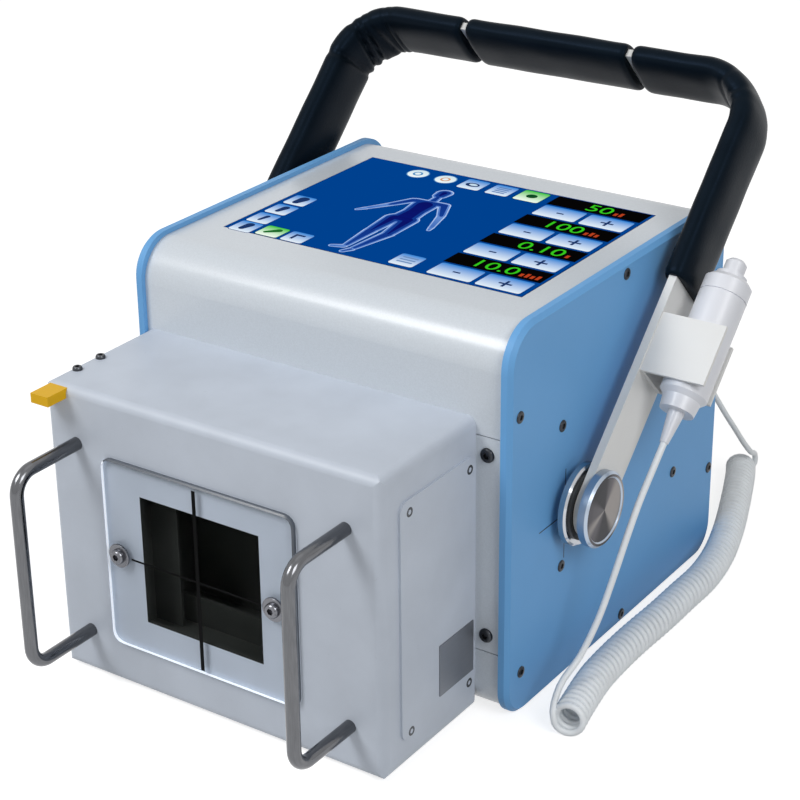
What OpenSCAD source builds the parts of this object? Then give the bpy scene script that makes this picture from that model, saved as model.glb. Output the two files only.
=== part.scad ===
// Portable x-ray machine: a hand-carried box with a touch screen, a beam
// limiter on its front and a carry handle that tilts about two side knobs.
// X runs to the right as seen from the front, the beam leaves towards -Y, Z is up.
// The origin is the centre of the base's underside.

/* [Body] */
// Width of the white casing between the side panels
body_w = 252; // [236:1:270]
// Depth of the white casing
body_d = 252; // [240:1:280]
// Height of the white casing
body_h = 242; // [232:1:260]
// Wall thickness of the casing's mouldings
casing_wall = 3; // [2:0.5:4]
// Radius over the top front and top back edges
top_r = 24; // [14:1:30]
// Radius under the bottom front and bottom back edges
bottom_r = 20; // [10:1:26]
// Height of the seam between the base tray and the upright plates
low_seam_z = 42; // [36:1:48]
// Height of the seam between the upright plates and the hood
high_seam_z = 179; // [172:1:184]
// Width of the two seams
seam = 0.6; // [0.3:0.1:1]

/* [Side panels] */
// Thickness of each blue side panel
panel_t = 6.5; // [5:0.5:10]
// How far a side panel stands proud of the casing's front
panel_front_proud = 3.2; // [2:0.1:7]
// How far a side panel stands proud of the casing's top and back
panel_top_proud = 3; // [1:0.5:5]
// Bevel along the outer edges of a side panel
panel_bevel = 2.5; // [1:0.5:4]

/* [Screen] */
// Distance of the touch screen from each side of the casing
screen_side = 20.5; // [18:0.5:30]
// Distance of the touch screen from the casing's front
screen_front = 51.4; // [44:0.2:60]
// Distance of the touch screen from the casing's back
screen_rear = 42.2; // [36:0.2:52]
// Thickness of the screen's glass
glass_t = 3; // [2:0.5:4]
// Depth of the display unit under the glass
display_depth = 12; // [8:1:20]
// Gap round the glass
glass_gap = 0.3; // [0.2:0.1:0.5]

/* [Beam limiter] */
// Distance of the limiter's left side inside the casing's left side
limiter_in_left = 0.5; // [0.5:0.5:8]
// Distance of the limiter's right side inside the casing's right side
limiter_in_right = 17.5; // [12:0.5:22]
// Depth of the beam limiter's box
limiter_d = 92.5; // [80:0.5:110]
// Height of the beam limiter's box
limiter_h = 187.5; // [176:0.5:196]
// Height of its underside over the floor
limiter_z = 2; // [1:0.5:6]
// Wall thickness of its box
limiter_wall = 3; // [2:0.5:4]
// Radius of its outer edges
limiter_r = 5.5; // [5:0.5:8]
// Distance of the aperture from each side of the window plate
aperture_side = 26; // [22:1:34]
// Height of the beam's aperture
aperture_h = 82; // [70:1:90]
// Height of the beam's axis
beam_z = 92; // [88:0.5:96]
// Distance of the clear window plate from the limiter's left side
window_in_left = 41; // [36:1:50]
// Distance of the clear window plate from the limiter's right side
window_in_right = 56; // [50:1:64]
// Height of the clear window plate
window_h = 121.5; // [114:0.5:126]
// Thickness of the clear window plate
window_t = 3; // [2:0.5:5]
// Corner radius of the clear window plate
window_r = 7; // [4:1:10]
// Thickness of the right cover plate
cover_t = 1.5; // [1:0.5:2.5]

/* [Front guards] */
// Diameter of the two bent guard rods
guard_d = 8; // [6:0.5:10]
// Distance of the rods' outer run from the limiter's face
guard_reach = 51; // [40:0.5:56]
// Distance between the two feet of a guard
guard_span = 123.5; // [110:0.5:134]
// Height of the guards' middle
guard_z = 93.2; // [88:0.2:98]
// Centreline radius of a guard's bends
guard_bend = 13; // [9:1:18]
// Distance of the left guard from the limiter's left side
guard_in_left = 22; // [16:0.5:28]
// Distance of the right guard from the limiter's right side
guard_in_right = 23; // [16:0.5:28]

/* [Handle] */
// Distance of the handle's pivot behind the casing's front
pivot_back = 65; // [60:1:75]
// Height of the handle's pivot
pivot_z = 116.5; // [108:0.5:124]
// Distance from the pivot to the middle of the crossbar
handle_l = 282; // [270:1:300]
// Distance of each arm's centreline from the side panel's face
arm_side = 14.5; // [13.5:0.5:18]
// Thickness of the bent flat bar
bar_t = 5; // [4:0.5:6]
// Width of the bent flat bar
bar_w = 36; // [32:1:40]
// Centreline radius of the bar's two bends
bar_bend = 35; // [28:1:42]
// Backward lean of the handle as it stands
handle_lean = 45.5; // [40:0.5:50]
// Thickness of the padded sleeves
grip_t = 17; // [14:0.5:17]
// Width of the padded sleeves
grip_w = 44; // [41:0.5:48]
// Distance from the pivot to the lower end of the side sleeves
grip_start = 143; // [138:1:160]
// Distance of the two bare gaps from the middle of the crossbar
grip_gap_x = 61; // [50:1:75]
// Width of each bare gap between the sleeves
grip_gap = 5; // [3:0.5:8]
// Gap between a sleeve and the bar in it
grip_clear = 0.2; // [0.1:0.1:0.4]

/* [Handle pivots] */
// Diameter of the pivot shaft
shaft_d = 16; // [12:1:20]
// Radial clearance of the shaft in its holes
shaft_clear = 0.05; // [0.03:0.01:0.09]
// Diameter of the bright washer's flange
washer_d = 50; // [42:1:54]
// Thickness of the bright washer with its hub
washer_t = 10.4; // [8:0.2:11]
// Diameter of the washer's hub
washer_hub_d = 26; // [22:1:34]
// Height of the washer's hub on the panel
washer_hub_t = 5.8; // [3:0.2:7]
// Diameter of the dark spacer ring
spacer_d = 42; // [34:1:44]
// Diameter of the clamping knob
knob_d = 46; // [40:1:50]
// Thickness of the clamping knob
knob_t = 6; // [5:0.5:10]
// Gap on each side of the arm
arm_gap = 0.3; // [0.2:0.05:0.4]

/* [Hand switch] */
// Diameter of the hand switch
switch_d = 29; // [26:0.5:31]
// Distance of its axis from the arm's outer face
switch_out = 24; // [19:0.5:26]
// Distance from the pivot to the lower end of its body
switch_start = 76; // [74:1:84]
// Length of its body
switch_l = 67; // [60:1:72]
// Length of its cap
cap_l = 12; // [9:1:16]
// Diameter of its button
button_d = 13; // [10:0.5:15]
// How far its button stands out of the cap
button_l = 13; // [10:0.5:16]
// Length of its lower cone
cone_l = 8; // [6:0.5:12]
// Length of its strain relief
relief_l = 20; // [16:1:22]
// Distance from the pivot to the lower edge of the clip
clip_start = 82; // [79:1:90]
// Height of the clip along the arm
clip_h = 38; // [30:1:44]
// Thickness of the clip's leaves
clip_t = 2.5; // [2:0.5:3.5]
// Length of the clip's front leaf out from the arm
clip_out = 41; // [36:1:44]
// Length of the clip's rear leaf out from the arm
clip_rear_out = 35; // [30:1:44]

/* [Cord] */
// Diameter of the cord
cord_d = 4; // [3.5:0.1:4.5]
// Outside diameter of the cord's coiled stretch
coil_d = 21; // [18:0.5:22]

/* [Back] */
// Width of the mains inlet's flange
inlet_w = 50; // [46:1:56]
// Height of the mains inlet's flange
inlet_h = 28; // [24:1:32]
// Width of each cooling slot
slot_w = 3; // [2:0.5:4]
// Number of cooling slots in a row
slot_count = 12; // [6:1:14]
// Spacing of the cooling slots
slot_pitch = 8; // [6:0.5:9]
// Height of the cooling slots
slot_h = 34; // [20:1:40]

/* [Base] */
// Spacing of the threaded base holes from left to right
base_hole_x = 180; // [150:5:200]
// Spacing of the threaded base holes from front to back
base_hole_y = 160; // [130:5:180]
// Radius of the threaded base holes
base_hole_r = 2.5; // [2:0.1:4]

/* [Hidden] */
$fn = 64;

front_y = -body_d / 2;
back_y = body_d / 2;
panel_x = body_w / 2;
panel_face_x = panel_x + panel_t;
pivot_y = front_y + pivot_back;
screen_w = body_w - 2 * screen_side;
screen_d = body_d - screen_front - screen_rear;

limiter_x0 = -panel_x + limiter_in_left;
limiter_x1 = panel_x - limiter_in_right;
limiter_w = limiter_x1 - limiter_x0;
limiter_left = -(limiter_x0 + limiter_x1) / 2;
limiter_y0 = front_y - limiter_d;
limiter_z1 = limiter_z + limiter_h;
window_x0 = limiter_x0 + window_in_left;
window_x1 = limiter_x1 - window_in_right;
aperture_w = window_x1 - window_x0 - 2 * aperture_side;
aperture_left = -(window_x0 + window_x1) / 2;
// The cover's margins inside the limiter's right side: front, back, below, above
cover_margin = [15.5, 4, 18, 21];
cover_r = 6;
cover_lap = 7;

shaft_r = shaft_d / 2;
arm_x = panel_face_x + arm_side;
arm_in_x = arm_x - bar_t / 2;
arm_out_x = arm_x + bar_t / 2;
switch_x = arm_out_x + switch_out;
relief_start_s = switch_start - cone_l - relief_l;

coil_z = coil_d / 2;

// Two-dimensional outlines

// A rectangle from a to b with all its corners rounded
module round_rect(a, b, r) {
  translate([a[0] + r, a[1]]) square([b[0] - a[0] - 2 * r, b[1] - a[1]]);
  translate([a[0], a[1] + r]) square([b[0] - a[0], b[1] - a[1] - 2 * r]);
  for (x = [a[0] + r, b[0] - r], y = [a[1] + r, b[1] - r])
    translate([x, y]) circle(r);
}

// A side outline with one radius on its upper corners and one on its lower
module side_outline(y0, y1, z0, z1, upper_r, lower_r) {
  mid = (z0 + z1) / 2;
  difference() {
    round_rect([y0, z0], [y1, z1], upper_r);
    translate([y0 - 1, z0 - 1]) square([y1 - y0 + 2, mid - z0 + 1]);
  }
  difference() {
    round_rect([y0, z0], [y1, z1], lower_r);
    translate([y0 - 1, mid]) square([y1 - y0 + 2, z1 - mid + 1]);
  }
}

// Turns a drawing of the side, depth by height, into a solid of a given width
module along_x(w, x = 0) {
  translate([x, 0, 0]) rotate([90, 0, 90]) linear_extrude(w, center = true) children();
}

// Turns a drawing of the front, width by height, into a solid from y0 to y1
module along_y(y0, y1) {
  translate([0, y1, 0]) rotate([90, 0, 0]) linear_extrude(y1 - y0) children();
}

// Sets a solid that is drawn round Z on a shaft along X, and mirrors it for the left
module on_shaft(side, x) {
  mirror([side < 0 ? 1 : 0, 0, 0])
    translate([x, pivot_y, pivot_z]) rotate([0, 90, 0]) children();
}

// Leans the upright handle about its pivot
module leaning() {
  translate([0, pivot_y, pivot_z]) rotate([-handle_lean, 0, 0]) children();
}

// Casing

module casing_band() {
  difference() {
    side_outline(front_y, back_y, 0, body_h, top_r, bottom_r);
    side_outline(front_y + casing_wall, back_y - casing_wall, casing_wall, body_h - casing_wall,
                 top_r - casing_wall, bottom_r - casing_wall);
  }
}

module hood() {
  color("#E6E7EA")
  difference() {
    along_x(body_w) difference() {
      casing_band();
      translate([front_y - 1, -1]) square([body_d + 2, high_seam_z + seam / 2 + 1]);
    }
    translate([-screen_w / 2 - glass_gap, front_y + screen_front - glass_gap,
               body_h - casing_wall - 1])
      cube([screen_w + 2 * glass_gap, screen_d + 2 * glass_gap, casing_wall + 2]);
  }
}

module base_tray() {
  color("#E6E7EA")
  difference() {
    along_x(body_w) intersection() {
      casing_band();
      translate([front_y - 1, -1]) square([body_d + 2, low_seam_z - seam / 2 + 1]);
    }
    for (x = [-1, 1], y = [-1, 1])
      translate([x * base_hole_x / 2, y * base_hole_y / 2, -1])
        cylinder(r = base_hole_r, h = casing_wall + 2);
  }
}

module upright_plate(y) {
  translate([-body_w / 2, y, low_seam_z + seam / 2])
    cube([body_w, casing_wall, high_seam_z - low_seam_z - seam]);
}

module front_plate() {
  color("#E6E7EA") upright_plate(front_y);
}

// Height and place of what the back carries
inlet_side = 56;
inlet_x = -panel_x + inlet_side;
inlet_z = 78;
rocker_pitch = 48;
rocker_x = inlet_x + rocker_pitch;
gland_in = -35;
gland_x = arm_x + gland_in;
gland_z = 104;
gland_d = 12;
gland_clear = 0.05;
gland_end_y = back_y + 24;
socket_w = 26;
socket_h = 18;
socket_rim = 2;
rocker_w = 15;
rocker_h = 21;
slot_z = 132;
slot_x = 10;

module back_plate() {
  color("#E6E7EA")
  difference() {
    upright_plate(back_y - casing_wall);
    for (k = [0 : slot_count - 1])
      translate([slot_x - slot_count * slot_pitch / 2 + k * slot_pitch, back_y - casing_wall - 1,
                 slot_z - slot_h / 2])
        cube([slot_w, casing_wall + 2, slot_h]);
    translate([inlet_x - socket_w / 2 - socket_rim, back_y - casing_wall - 1,
               inlet_z - socket_h / 2 - socket_rim])
      cube([socket_w + 2 * socket_rim, casing_wall + 2, socket_h + 2 * socket_rim]);
    translate([rocker_x - rocker_w / 2, back_y - casing_wall - 1, inlet_z - rocker_h / 2])
      cube([rocker_w, casing_wall + 2, rocker_h]);
    translate([gland_x, back_y + 1, gland_z]) rotate([90, 0, 0])
      cylinder(d = gland_d, h = casing_wall + 2);
  }
}

// Half the profile of a round bevelled plate of radius r
module bevelled_edge(r) {
  polygon([[0, 0], [r, 0], [r, panel_t - panel_bevel], [r - panel_bevel, panel_t], [0, panel_t]]);
}

// A right side panel with one radius on its upper corners and one on its lower
module bevelled_panel() {
  y0 = front_y - panel_front_proud;
  y1 = back_y + panel_top_proud;
  z1 = body_h + panel_top_proud;
  upper_r = top_r + 1;
  mid_y = (y0 + y1) / 2;
  mid_z = z1 / 2;
  half = (y1 - y0) / 2;
  translate([panel_x, mid_y, bottom_r]) linear_extrude(z1 - bottom_r - upper_r)
    polygon([[0, -half], [panel_t - panel_bevel, -half], [panel_t, panel_bevel - half],
             [panel_t, half - panel_bevel], [panel_t - panel_bevel, half], [0, half]]);
  for (y = [y0 + upper_r, y1 - upper_r])
    translate([panel_x, y, z1 - upper_r]) rotate([0, 90, 0])
      rotate_extrude() bevelled_edge(upper_r);
  for (y = [y0 + bottom_r, y1 - bottom_r])
    translate([panel_x, y, bottom_r]) rotate([0, 90, 0])
      rotate_extrude() bevelled_edge(bottom_r);
  translate([panel_x, y1 - upper_r, mid_z]) rotate([90, 0, 0])
    linear_extrude(y1 - y0 - 2 * upper_r)
      polygon([[0, 0], [panel_t, 0], [panel_t, mid_z - panel_bevel],
               [panel_t - panel_bevel, mid_z], [0, mid_z]]);
  translate([panel_x, y1 - bottom_r, 0]) rotate([90, 0, 0])
    linear_extrude(y1 - y0 - 2 * bottom_r)
      polygon([[0, 0], [panel_t - panel_bevel, 0], [panel_t, panel_bevel], [panel_t, mid_z],
               [0, mid_z]]);
}

module side_panel(side) {
  difference() {
    mirror([side < 0 ? 1 : 0, 0, 0]) bevelled_panel();
    on_shaft(side, panel_x - 1) cylinder(r = shaft_r + shaft_clear, h = panel_t + 2);
  }
}

module side_panel_right() { color("#5B8FC3") side_panel(1); }
module side_panel_left() { color("#5B8FC3") side_panel(-1); }

module screen_glass() {
  color("#0A3F8C")
    translate([-screen_w / 2, front_y + screen_front, body_h - glass_t])
      cube([screen_w, screen_d, glass_t]);
}

// The display unit's rim laps under the hood round the screen's opening
display_lap = 4;

module display_unit() {
  color("#2A2D31")
    translate([-screen_w / 2 - display_lap, front_y + screen_front - display_lap,
               body_h - casing_wall - display_depth])
      cube([screen_w + 2 * display_lap, screen_d + 2 * display_lap, display_depth]);
}

// The closed oil-filled tube housing, the heavy mass inside
housing_side = 31;
housing_back = 30;
housing_size = [body_w - 2 * housing_side, 150, 130];

module tube_housing() {
  color("#8D9094")
    translate([-housing_size[0] / 2, front_y + housing_back, casing_wall])
      cube(housing_size);
}

// Beam limiter

module limiter_solid() {
  r = limiter_r;
  intersection() {
    along_y(limiter_y0, front_y)
      round_rect([limiter_x0, limiter_z], [limiter_x1, limiter_z1], r);
    along_x(limiter_w + 2, -limiter_left)
      round_rect([limiter_y0, limiter_z], [front_y + 2 * r, limiter_z1], r);
    translate([0, 0, limiter_z - 1]) linear_extrude(limiter_h + 2)
      round_rect([limiter_x0, limiter_y0], [limiter_x1, front_y + 2 * r], r);
  }
}

module limiter_box() {
  w = limiter_wall;
  color("#DFE4EE")
  difference() {
    limiter_solid();
    translate([limiter_x0 + w, limiter_y0 + w, limiter_z + w])
      cube([limiter_w - 2 * w, limiter_d, limiter_h - 2 * w]);
    translate([-aperture_left - aperture_w / 2, limiter_y0 - 1, beam_z - aperture_h / 2])
      cube([aperture_w, w + 2, aperture_h]);
    translate([limiter_x1 - w - 1, limiter_y0 + cover_margin[0] + cover_lap,
               limiter_z + cover_margin[2] + cover_lap])
      cube([w + 2, limiter_d - cover_margin[0] - cover_margin[1] - 2 * cover_lap,
            limiter_h - cover_margin[2] - cover_margin[3] - 2 * cover_lap]);
  }
}

module limiter_cover() {
  color("#DFE4EE")
    along_x(cover_t, limiter_x1 + cover_t / 2)
      round_rect([limiter_y0 + cover_margin[0], limiter_z + cover_margin[2]],
                 [front_y - cover_margin[1], limiter_z1 - cover_margin[3]], cover_r);
}

tunnel_wall = 2;
tunnel_margin = 8;
tunnel_depth = 55;

module light_tunnel() {
  w = aperture_w + 2 * tunnel_margin;
  h = aperture_h + 2 * tunnel_margin;
  y0 = limiter_y0 + limiter_wall;
  color("#17191C")
  difference() {
    translate([-aperture_left - w / 2 - tunnel_wall, y0, beam_z - h / 2 - tunnel_wall])
      cube([w + 2 * tunnel_wall, tunnel_depth, h + 2 * tunnel_wall]);
    translate([-aperture_left - w / 2, y0 - 1, beam_z - h / 2])
      cube([w, tunnel_depth + 1 - tunnel_wall, h]);
  }
}

// Each leaf: side, 1 across and 0 up; how far it reaches in; its depth in the tunnel
shutter_t = 2;
shutter_table = [[1, 14, 14], [-1, 20, 14], [1, 12, 22], [-1, 18, 22]];

module shutter_leaves() {
  w = aperture_w + 2 * tunnel_margin;
  h = aperture_h + 2 * tunnel_margin;
  y0 = limiter_y0 + limiter_wall;
  color("#26292D") {
    for (k = [0, 1]) {
      leaf = shutter_table[k];
      reach = leaf[1];
      x = leaf[0] > 0 ? -aperture_left + w / 2 - reach : -aperture_left - w / 2;
      translate([x, y0 + leaf[2], beam_z - h / 2]) cube([reach, shutter_t, h]);
    }
    for (k = [2, 3]) {
      leaf = shutter_table[k];
      reach = leaf[1];
      z = leaf[0] > 0 ? beam_z + h / 2 - reach : beam_z - h / 2;
      translate([-aperture_left - w / 2, y0 + leaf[2], z]) cube([w, shutter_t, reach]);
    }
  }
}

module window_plate() {
  color("#C9D6E4", 0.35)
    along_y(limiter_y0 - window_t, limiter_y0)
      round_rect([window_x0, beam_z - window_h / 2], [window_x1, beam_z + window_h / 2], window_r);
}

// Front guards, bent from round rod

module guard(x) {
  r = guard_d / 2;
  z0 = guard_z - guard_span / 2;
  z1 = guard_z + guard_span / 2;
  run = guard_reach - guard_bend;
  color("#C9CCD0") {
    for (z = [z0, z1])
      translate([x, limiter_y0, z]) rotate([90, 0, 0]) cylinder(r = r, h = run);
    translate([x, limiter_y0 - guard_reach, z0 + guard_bend])
      cylinder(r = r, h = guard_span - 2 * guard_bend);
    translate([x, limiter_y0 - run, z1 - guard_bend]) rotate([0, -90, 0])
      rotate([0, 0, -90]) rotate_extrude(angle = 90) translate([guard_bend, 0]) circle(r);
    translate([x, limiter_y0 - run, z0 + guard_bend]) rotate([0, -90, 0])
      rotate([0, 0, 180]) rotate_extrude(angle = 90) translate([guard_bend, 0]) circle(r);
  }
}

module guard_left() { guard(limiter_x0 + guard_in_left); }
module guard_right() { guard(limiter_x1 - guard_in_right); }

// The pull tab of the distance tape, on the limiter's top left corner
tab_size = [13, 15, 6];
tab_in = 3.5;
tab_drop = 1.5;
tab_root = 4;

module tape_tab() {
  color("#F2C21A")
    difference() {
      translate([limiter_x0 + tab_in, limiter_y0 - tab_size[1],
                 limiter_z1 - tab_drop - tab_size[2]])
        cube(tab_size + [0, tab_root, 0]);
      limiter_solid();
    }
}

label_size = [0.6, 35, 33];
label_z = 31;

module label_plate() {
  color("#75797E")
    translate([limiter_x1 + cover_t, front_y - cover_margin[1] - 1 - label_size[1], label_z])
      cube(label_size);
}

// Handle pivots

module pivot_washer(side) {
  bevel = 1.2;
  r = washer_d / 2;
  hub_r = washer_hub_d / 2;
  color("#D6D8DB")
    on_shaft(side, panel_face_x)
      rotate_extrude()
        polygon([[shaft_r + shaft_clear, 0], [hub_r, 0], [hub_r, washer_hub_t],
                 [r, washer_hub_t], [r, washer_t - bevel], [r - bevel, washer_t],
                 [shaft_r + shaft_clear, washer_t]]);
}

module pivot_washer_right() { pivot_washer(1); }
module pivot_washer_left() { pivot_washer(-1); }

module pivot_spacer(side) {
  x0 = panel_face_x + washer_t;
  color("#202225")
    on_shaft(side, x0)
      difference() {
        cylinder(d = spacer_d, h = arm_in_x - arm_gap - x0);
        translate([0, 0, -1]) cylinder(r = shaft_r + shaft_clear, h = arm_in_x - x0 + 2);
      }
}

module pivot_spacer_right() { pivot_spacer(1); }
module pivot_spacer_left() { pivot_spacer(-1); }

// A knob in one piece with the shaft that carries the arm
module pivot_knob(side) {
  bevel = 1.5;
  recess = 0.8;
  rim = 3;
  r = knob_d / 2;
  x0 = panel_x;
  head = arm_out_x + arm_gap - x0;
  tip = head + knob_t;
  color("#C4C7CB")
    on_shaft(side, x0)
      rotate_extrude()
        polygon([[0, 0], [shaft_r, 0], [shaft_r, head], [r, head], [r, tip - bevel],
                 [r - bevel, tip], [r - rim, tip], [r - rim - recess, tip - recess],
                 [0, tip - recess]]);
}

module pivot_knob_right() { pivot_knob(1); }
module pivot_knob_left() { pivot_knob(-1); }

// Handle, drawn upright round the pivot and then leaned back

// The region under a bow with two round upper corners
module bow_region(half, top, r, low) {
  translate([-half, low]) square([2 * half, top - r - low]);
  translate([-half + r, low]) square([2 * half - 2 * r, top - low]);
  for (x = [-1, 1]) translate([x * (half - r), top - r]) circle(r);
}

// The bent flat bar's band, with extra thickness and width all round it
module bow_band(extra) {
  t = bar_t / 2 + extra;
  rotate([90, 0, 0]) linear_extrude(bar_w + 2 * extra, center = true)
    difference() {
      bow_region(arm_x + t, handle_l + t, bar_bend + t, -bar_w);
      translate([0, -1]) bow_region(arm_x - t, handle_l - t + 1, bar_bend - t, -bar_w);
    }
}

module handle_bar() {
  color("#E9E7E2")
  leaning() difference() {
    intersection() {
      bow_band(0);
      rotate([90, 0, 90]) linear_extrude(2 * arm_x + 4 * bar_t, center = true) {
        circle(bar_w / 2);
        translate([-bar_w / 2, 0]) square([bar_w, handle_l + bar_t]);
      }
    }
    translate([-arm_x - bar_t, 0, 0]) rotate([0, 90, 0])
      cylinder(r = shaft_r + shaft_clear, h = 2 * arm_x + 2 * bar_t);
  }
}

// A sleeve's cross-section, thick across X and wide across Y
module grip_section() {
  flat = grip_w - grip_t;
  translate([-grip_t / 2, -flat / 2]) square([grip_t, flat]);
  for (y = [-1, 1]) translate([0, y * flat / 2]) circle(d = grip_t);
}

module side_grip(side) {
  corner_s = handle_l - bar_bend;
  corner_x = arm_x - bar_bend;
  run_end = grip_gap_x + grip_gap / 2;
  color("#1C2227")
  leaning() mirror([side < 0 ? 1 : 0, 0, 0]) difference() {
    union() {
      translate([arm_x, 0, grip_start]) linear_extrude(corner_s - grip_start) grip_section();
      translate([corner_x, 0, corner_s]) rotate([90, 0, 0])
        rotate_extrude(angle = 90) translate([bar_bend, 0]) grip_section();
      translate([run_end, 0, handle_l]) rotate([0, 90, 0])
        linear_extrude(corner_x - run_end) grip_section();
    }
    bow_band(grip_clear);
  }
}

module grip_right() { side_grip(1); }
module grip_left() { side_grip(-1); }

module grip_middle() {
  half = grip_gap_x - grip_gap / 2;
  color("#1C2227")
  leaning() difference() {
    translate([-half, 0, handle_l]) rotate([0, 90, 0]) linear_extrude(2 * half) grip_section();
    bow_band(grip_clear);
  }
}

// Hand switch and its clip on the right arm

module on_switch(s) {
  leaning() translate([switch_x, 0, s]) children();
}

clip_fit = 0.2;

module switch_clip() {
  inner = switch_d / 2 + clip_fit;
  color("#E9E7E2")
  leaning() translate([arm_out_x, 0, clip_start]) {
    translate([0, -inner - clip_t, 0]) cube([clip_t, 2 * (inner + clip_t), clip_h]);
    translate([0, -inner - clip_t, 0]) cube([clip_out, clip_t, clip_h]);
    translate([0, inner, 0]) cube([clip_rear_out, clip_t, clip_h]);
  }
}

// The switch's small steps: the cone's slope, its root and the cap's collar
cone_in = 3;
cone_step = 1;
collar_out = 3;
collar_l = 3;

module switch_body() {
  r = switch_d / 2;
  color("#ECECEE")
    on_switch(switch_start - cone_l) rotate_extrude()
      polygon([[0, 0], [r - cone_in - cone_step, 0], [r - cone_in, cone_l],
               [r, cone_l + cone_in], [r, cone_l + switch_l], [0, cone_l + switch_l]]);
}

module switch_cap() {
  r = switch_d / 2;
  bevel = 2.5;
  groove = 0.6;
  color("#ECECEE")
    on_switch(switch_start + switch_l) rotate_extrude()
      polygon([[0, 0], [r - groove, 0], [r - groove, groove], [r, groove], [r, cap_l - bevel],
               [r - bevel, cap_l], [button_d / 2 + collar_out, cap_l],
               [button_d / 2 + collar_out, cap_l + collar_l], [0, cap_l + collar_l]]);
}

module switch_button() {
  r = button_d / 2;
  dome = 2;
  stem = button_l - collar_l;
  color("#F4F4F4")
    on_switch(switch_start + switch_l + cap_l + collar_l) rotate_extrude()
      polygon([[0, 0], [r, 0], [r, stem - dome], [r - dome, stem], [0, stem]]);
}

relief_wall = 0.6;
relief_r = 5;

module switch_relief() {
  color("#ECECEE")
    on_switch(relief_start_s)
      cylinder(r1 = cord_d / 2 + relief_wall, r2 = relief_r, h = relief_l);
}

// Cord

function blend_point(a, b, c, d, t) =
  ((2 * b) + (c - a) * t + (2 * a - 5 * b + 4 * c - d) * t * t
   + (3 * b - a - 3 * c + d) * t * t * t) / 2;

// A smooth curve through the points, with a given number of steps between two of them
function smooth_route(p, steps) = [
  for (i = [0 : len(p) - 2], k = [0 : steps - 1])
    blend_point(p[max(i - 1, 0)], p[i], p[i + 1], p[min(i + 2, len(p) - 1)], k / steps),
  p[len(p) - 1]
];

function unit(v) = v / norm(v);

// A tube of n sides along a curve, its rings turned from one reference direction
module tube(path, r, n, ref) {
  last = len(path) - 1;
  rings = [
    for (i = [0 : last])
      let (
        t = unit(path[min(i + 1, last)] - path[max(i - 1, 0)]),
        a = unit(cross(ref, t)),
        b = cross(t, a)
      )
      for (k = [0 : n - 1]) path[i] + r * (cos(360 * k / n) * a + sin(360 * k / n) * b)
  ];
  sides = [
    for (i = [0 : last - 1], k = [0 : n - 1])
      let (k2 = (k + 1) % n)
      [i * n + k, (i + 1) * n + k, (i + 1) * n + k2, i * n + k2]
  ];
  polyhedron(rings, concat(sides, [[for (k = [0 : n - 1]) k],
                                   [for (k = [n - 1 : -1 : 0]) last * n + k]]), convexity = 6);
}

// Middle of the cord from the hand switch down to the coil's front end
lead_gap = 0.4;
lead_start_s = relief_start_s - lead_gap;
lead_start = [switch_x, pivot_y + lead_start_s * sin(handle_lean),
              pivot_z + lead_start_s * cos(handle_lean)];
// The points of the three routes, their X measured outward from the arm's centreline
lead_points = [
  [26, -38, 138], [24.2, -50, 121], [22, -60, 101], [19.3, -69, 79],
  [16, -79, 56], [12.5, -93, 37], [9, -110, 24], [7.5, -121, 15], [9, -127.5, 11.5]
];
// Middle of the coiled stretch along the floor, front to back
coil_points = [
  [21.1, -120.9], [16.7, -101], [11.6, -72.2], [9.8, -44.6], [9.6, -17.1], [10.4, 11.8],
  [10.3, 41.1], [10.1, 71.5], [5.3, 102.5], [-4.5, 137.2], [-17.7, 174.5], [-32.5, 212.8],
  [-40.2, 229.7]
];
// Middle of the cord from the coil's back end up to the gland
tail_points = [
  [-34, 237, 14], [-31.5, 233, 20], [-29, 220, 28], [-29, 206.6, 41], [-29, 191.8, 57],
  [-30, 177, 74], [-33, 163.5, 93], [gland_in, 155, 103.5], [gland_in, gland_end_y, gland_z]
];

function beside_arm(p) = [arm_x + p[0], p[1], p[2]];

lead_route = concat([lead_start], [for (p = lead_points) beside_arm(p)]);
coil_route = [for (p = coil_points) beside_arm([p[0], p[1], coil_z])];
tail_route = [for (p = tail_points) beside_arm(p)];

module cord_lead() {
  color("#ECECEE") tube(smooth_route(lead_route, 3), cord_d / 2, 8, [1, 0, 0]);
}

module cord_coil() {
  color("#ECECEE") tube(smooth_route(coil_route, 3), coil_d / 2, 12, [0, 0, 1]);
}

module cord_tail() {
  color("#ECECEE") tube(smooth_route(tail_route, 2), cord_d / 2, 8, [1, 0, 0]);
}

// Back fittings

module cord_gland() {
  nut_d = 18;
  nut_t = 5;
  nose_r = 6;
  nose_wall = 0.8;
  nose_gap = 0.2;
  nose = gland_end_y - nose_gap - back_y;
  color("#3A3D40")
    translate([gland_x, back_y, gland_z]) rotate([-90, 0, 0]) {
      translate([0, 0, -casing_wall])
        cylinder(r = gland_d / 2 - gland_clear, h = casing_wall + 1);
      cylinder(d = nut_d, h = nut_t, $fn = 6);
      translate([0, 0, nut_t])
        cylinder(r1 = nose_r, r2 = cord_d / 2 + nose_wall, h = nose - nut_t);
    }
}

module mains_inlet() {
  flange_t = 2;
  depth = 16;
  color("#1B1C1E")
  difference() {
    union() {
      translate([inlet_x - inlet_w / 2, back_y, inlet_z - inlet_h / 2])
        cube([inlet_w, flange_t, inlet_h]);
      translate([inlet_x - socket_w / 2 - socket_rim, back_y - depth,
                 inlet_z - socket_h / 2 - socket_rim])
        cube([socket_w + 2 * socket_rim, depth + 1, socket_h + 2 * socket_rim]);
    }
    translate([inlet_x - socket_w / 2, back_y - depth + socket_rim, inlet_z - socket_h / 2])
      cube([socket_w, depth + flange_t, socket_h]);
  }
}

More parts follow.
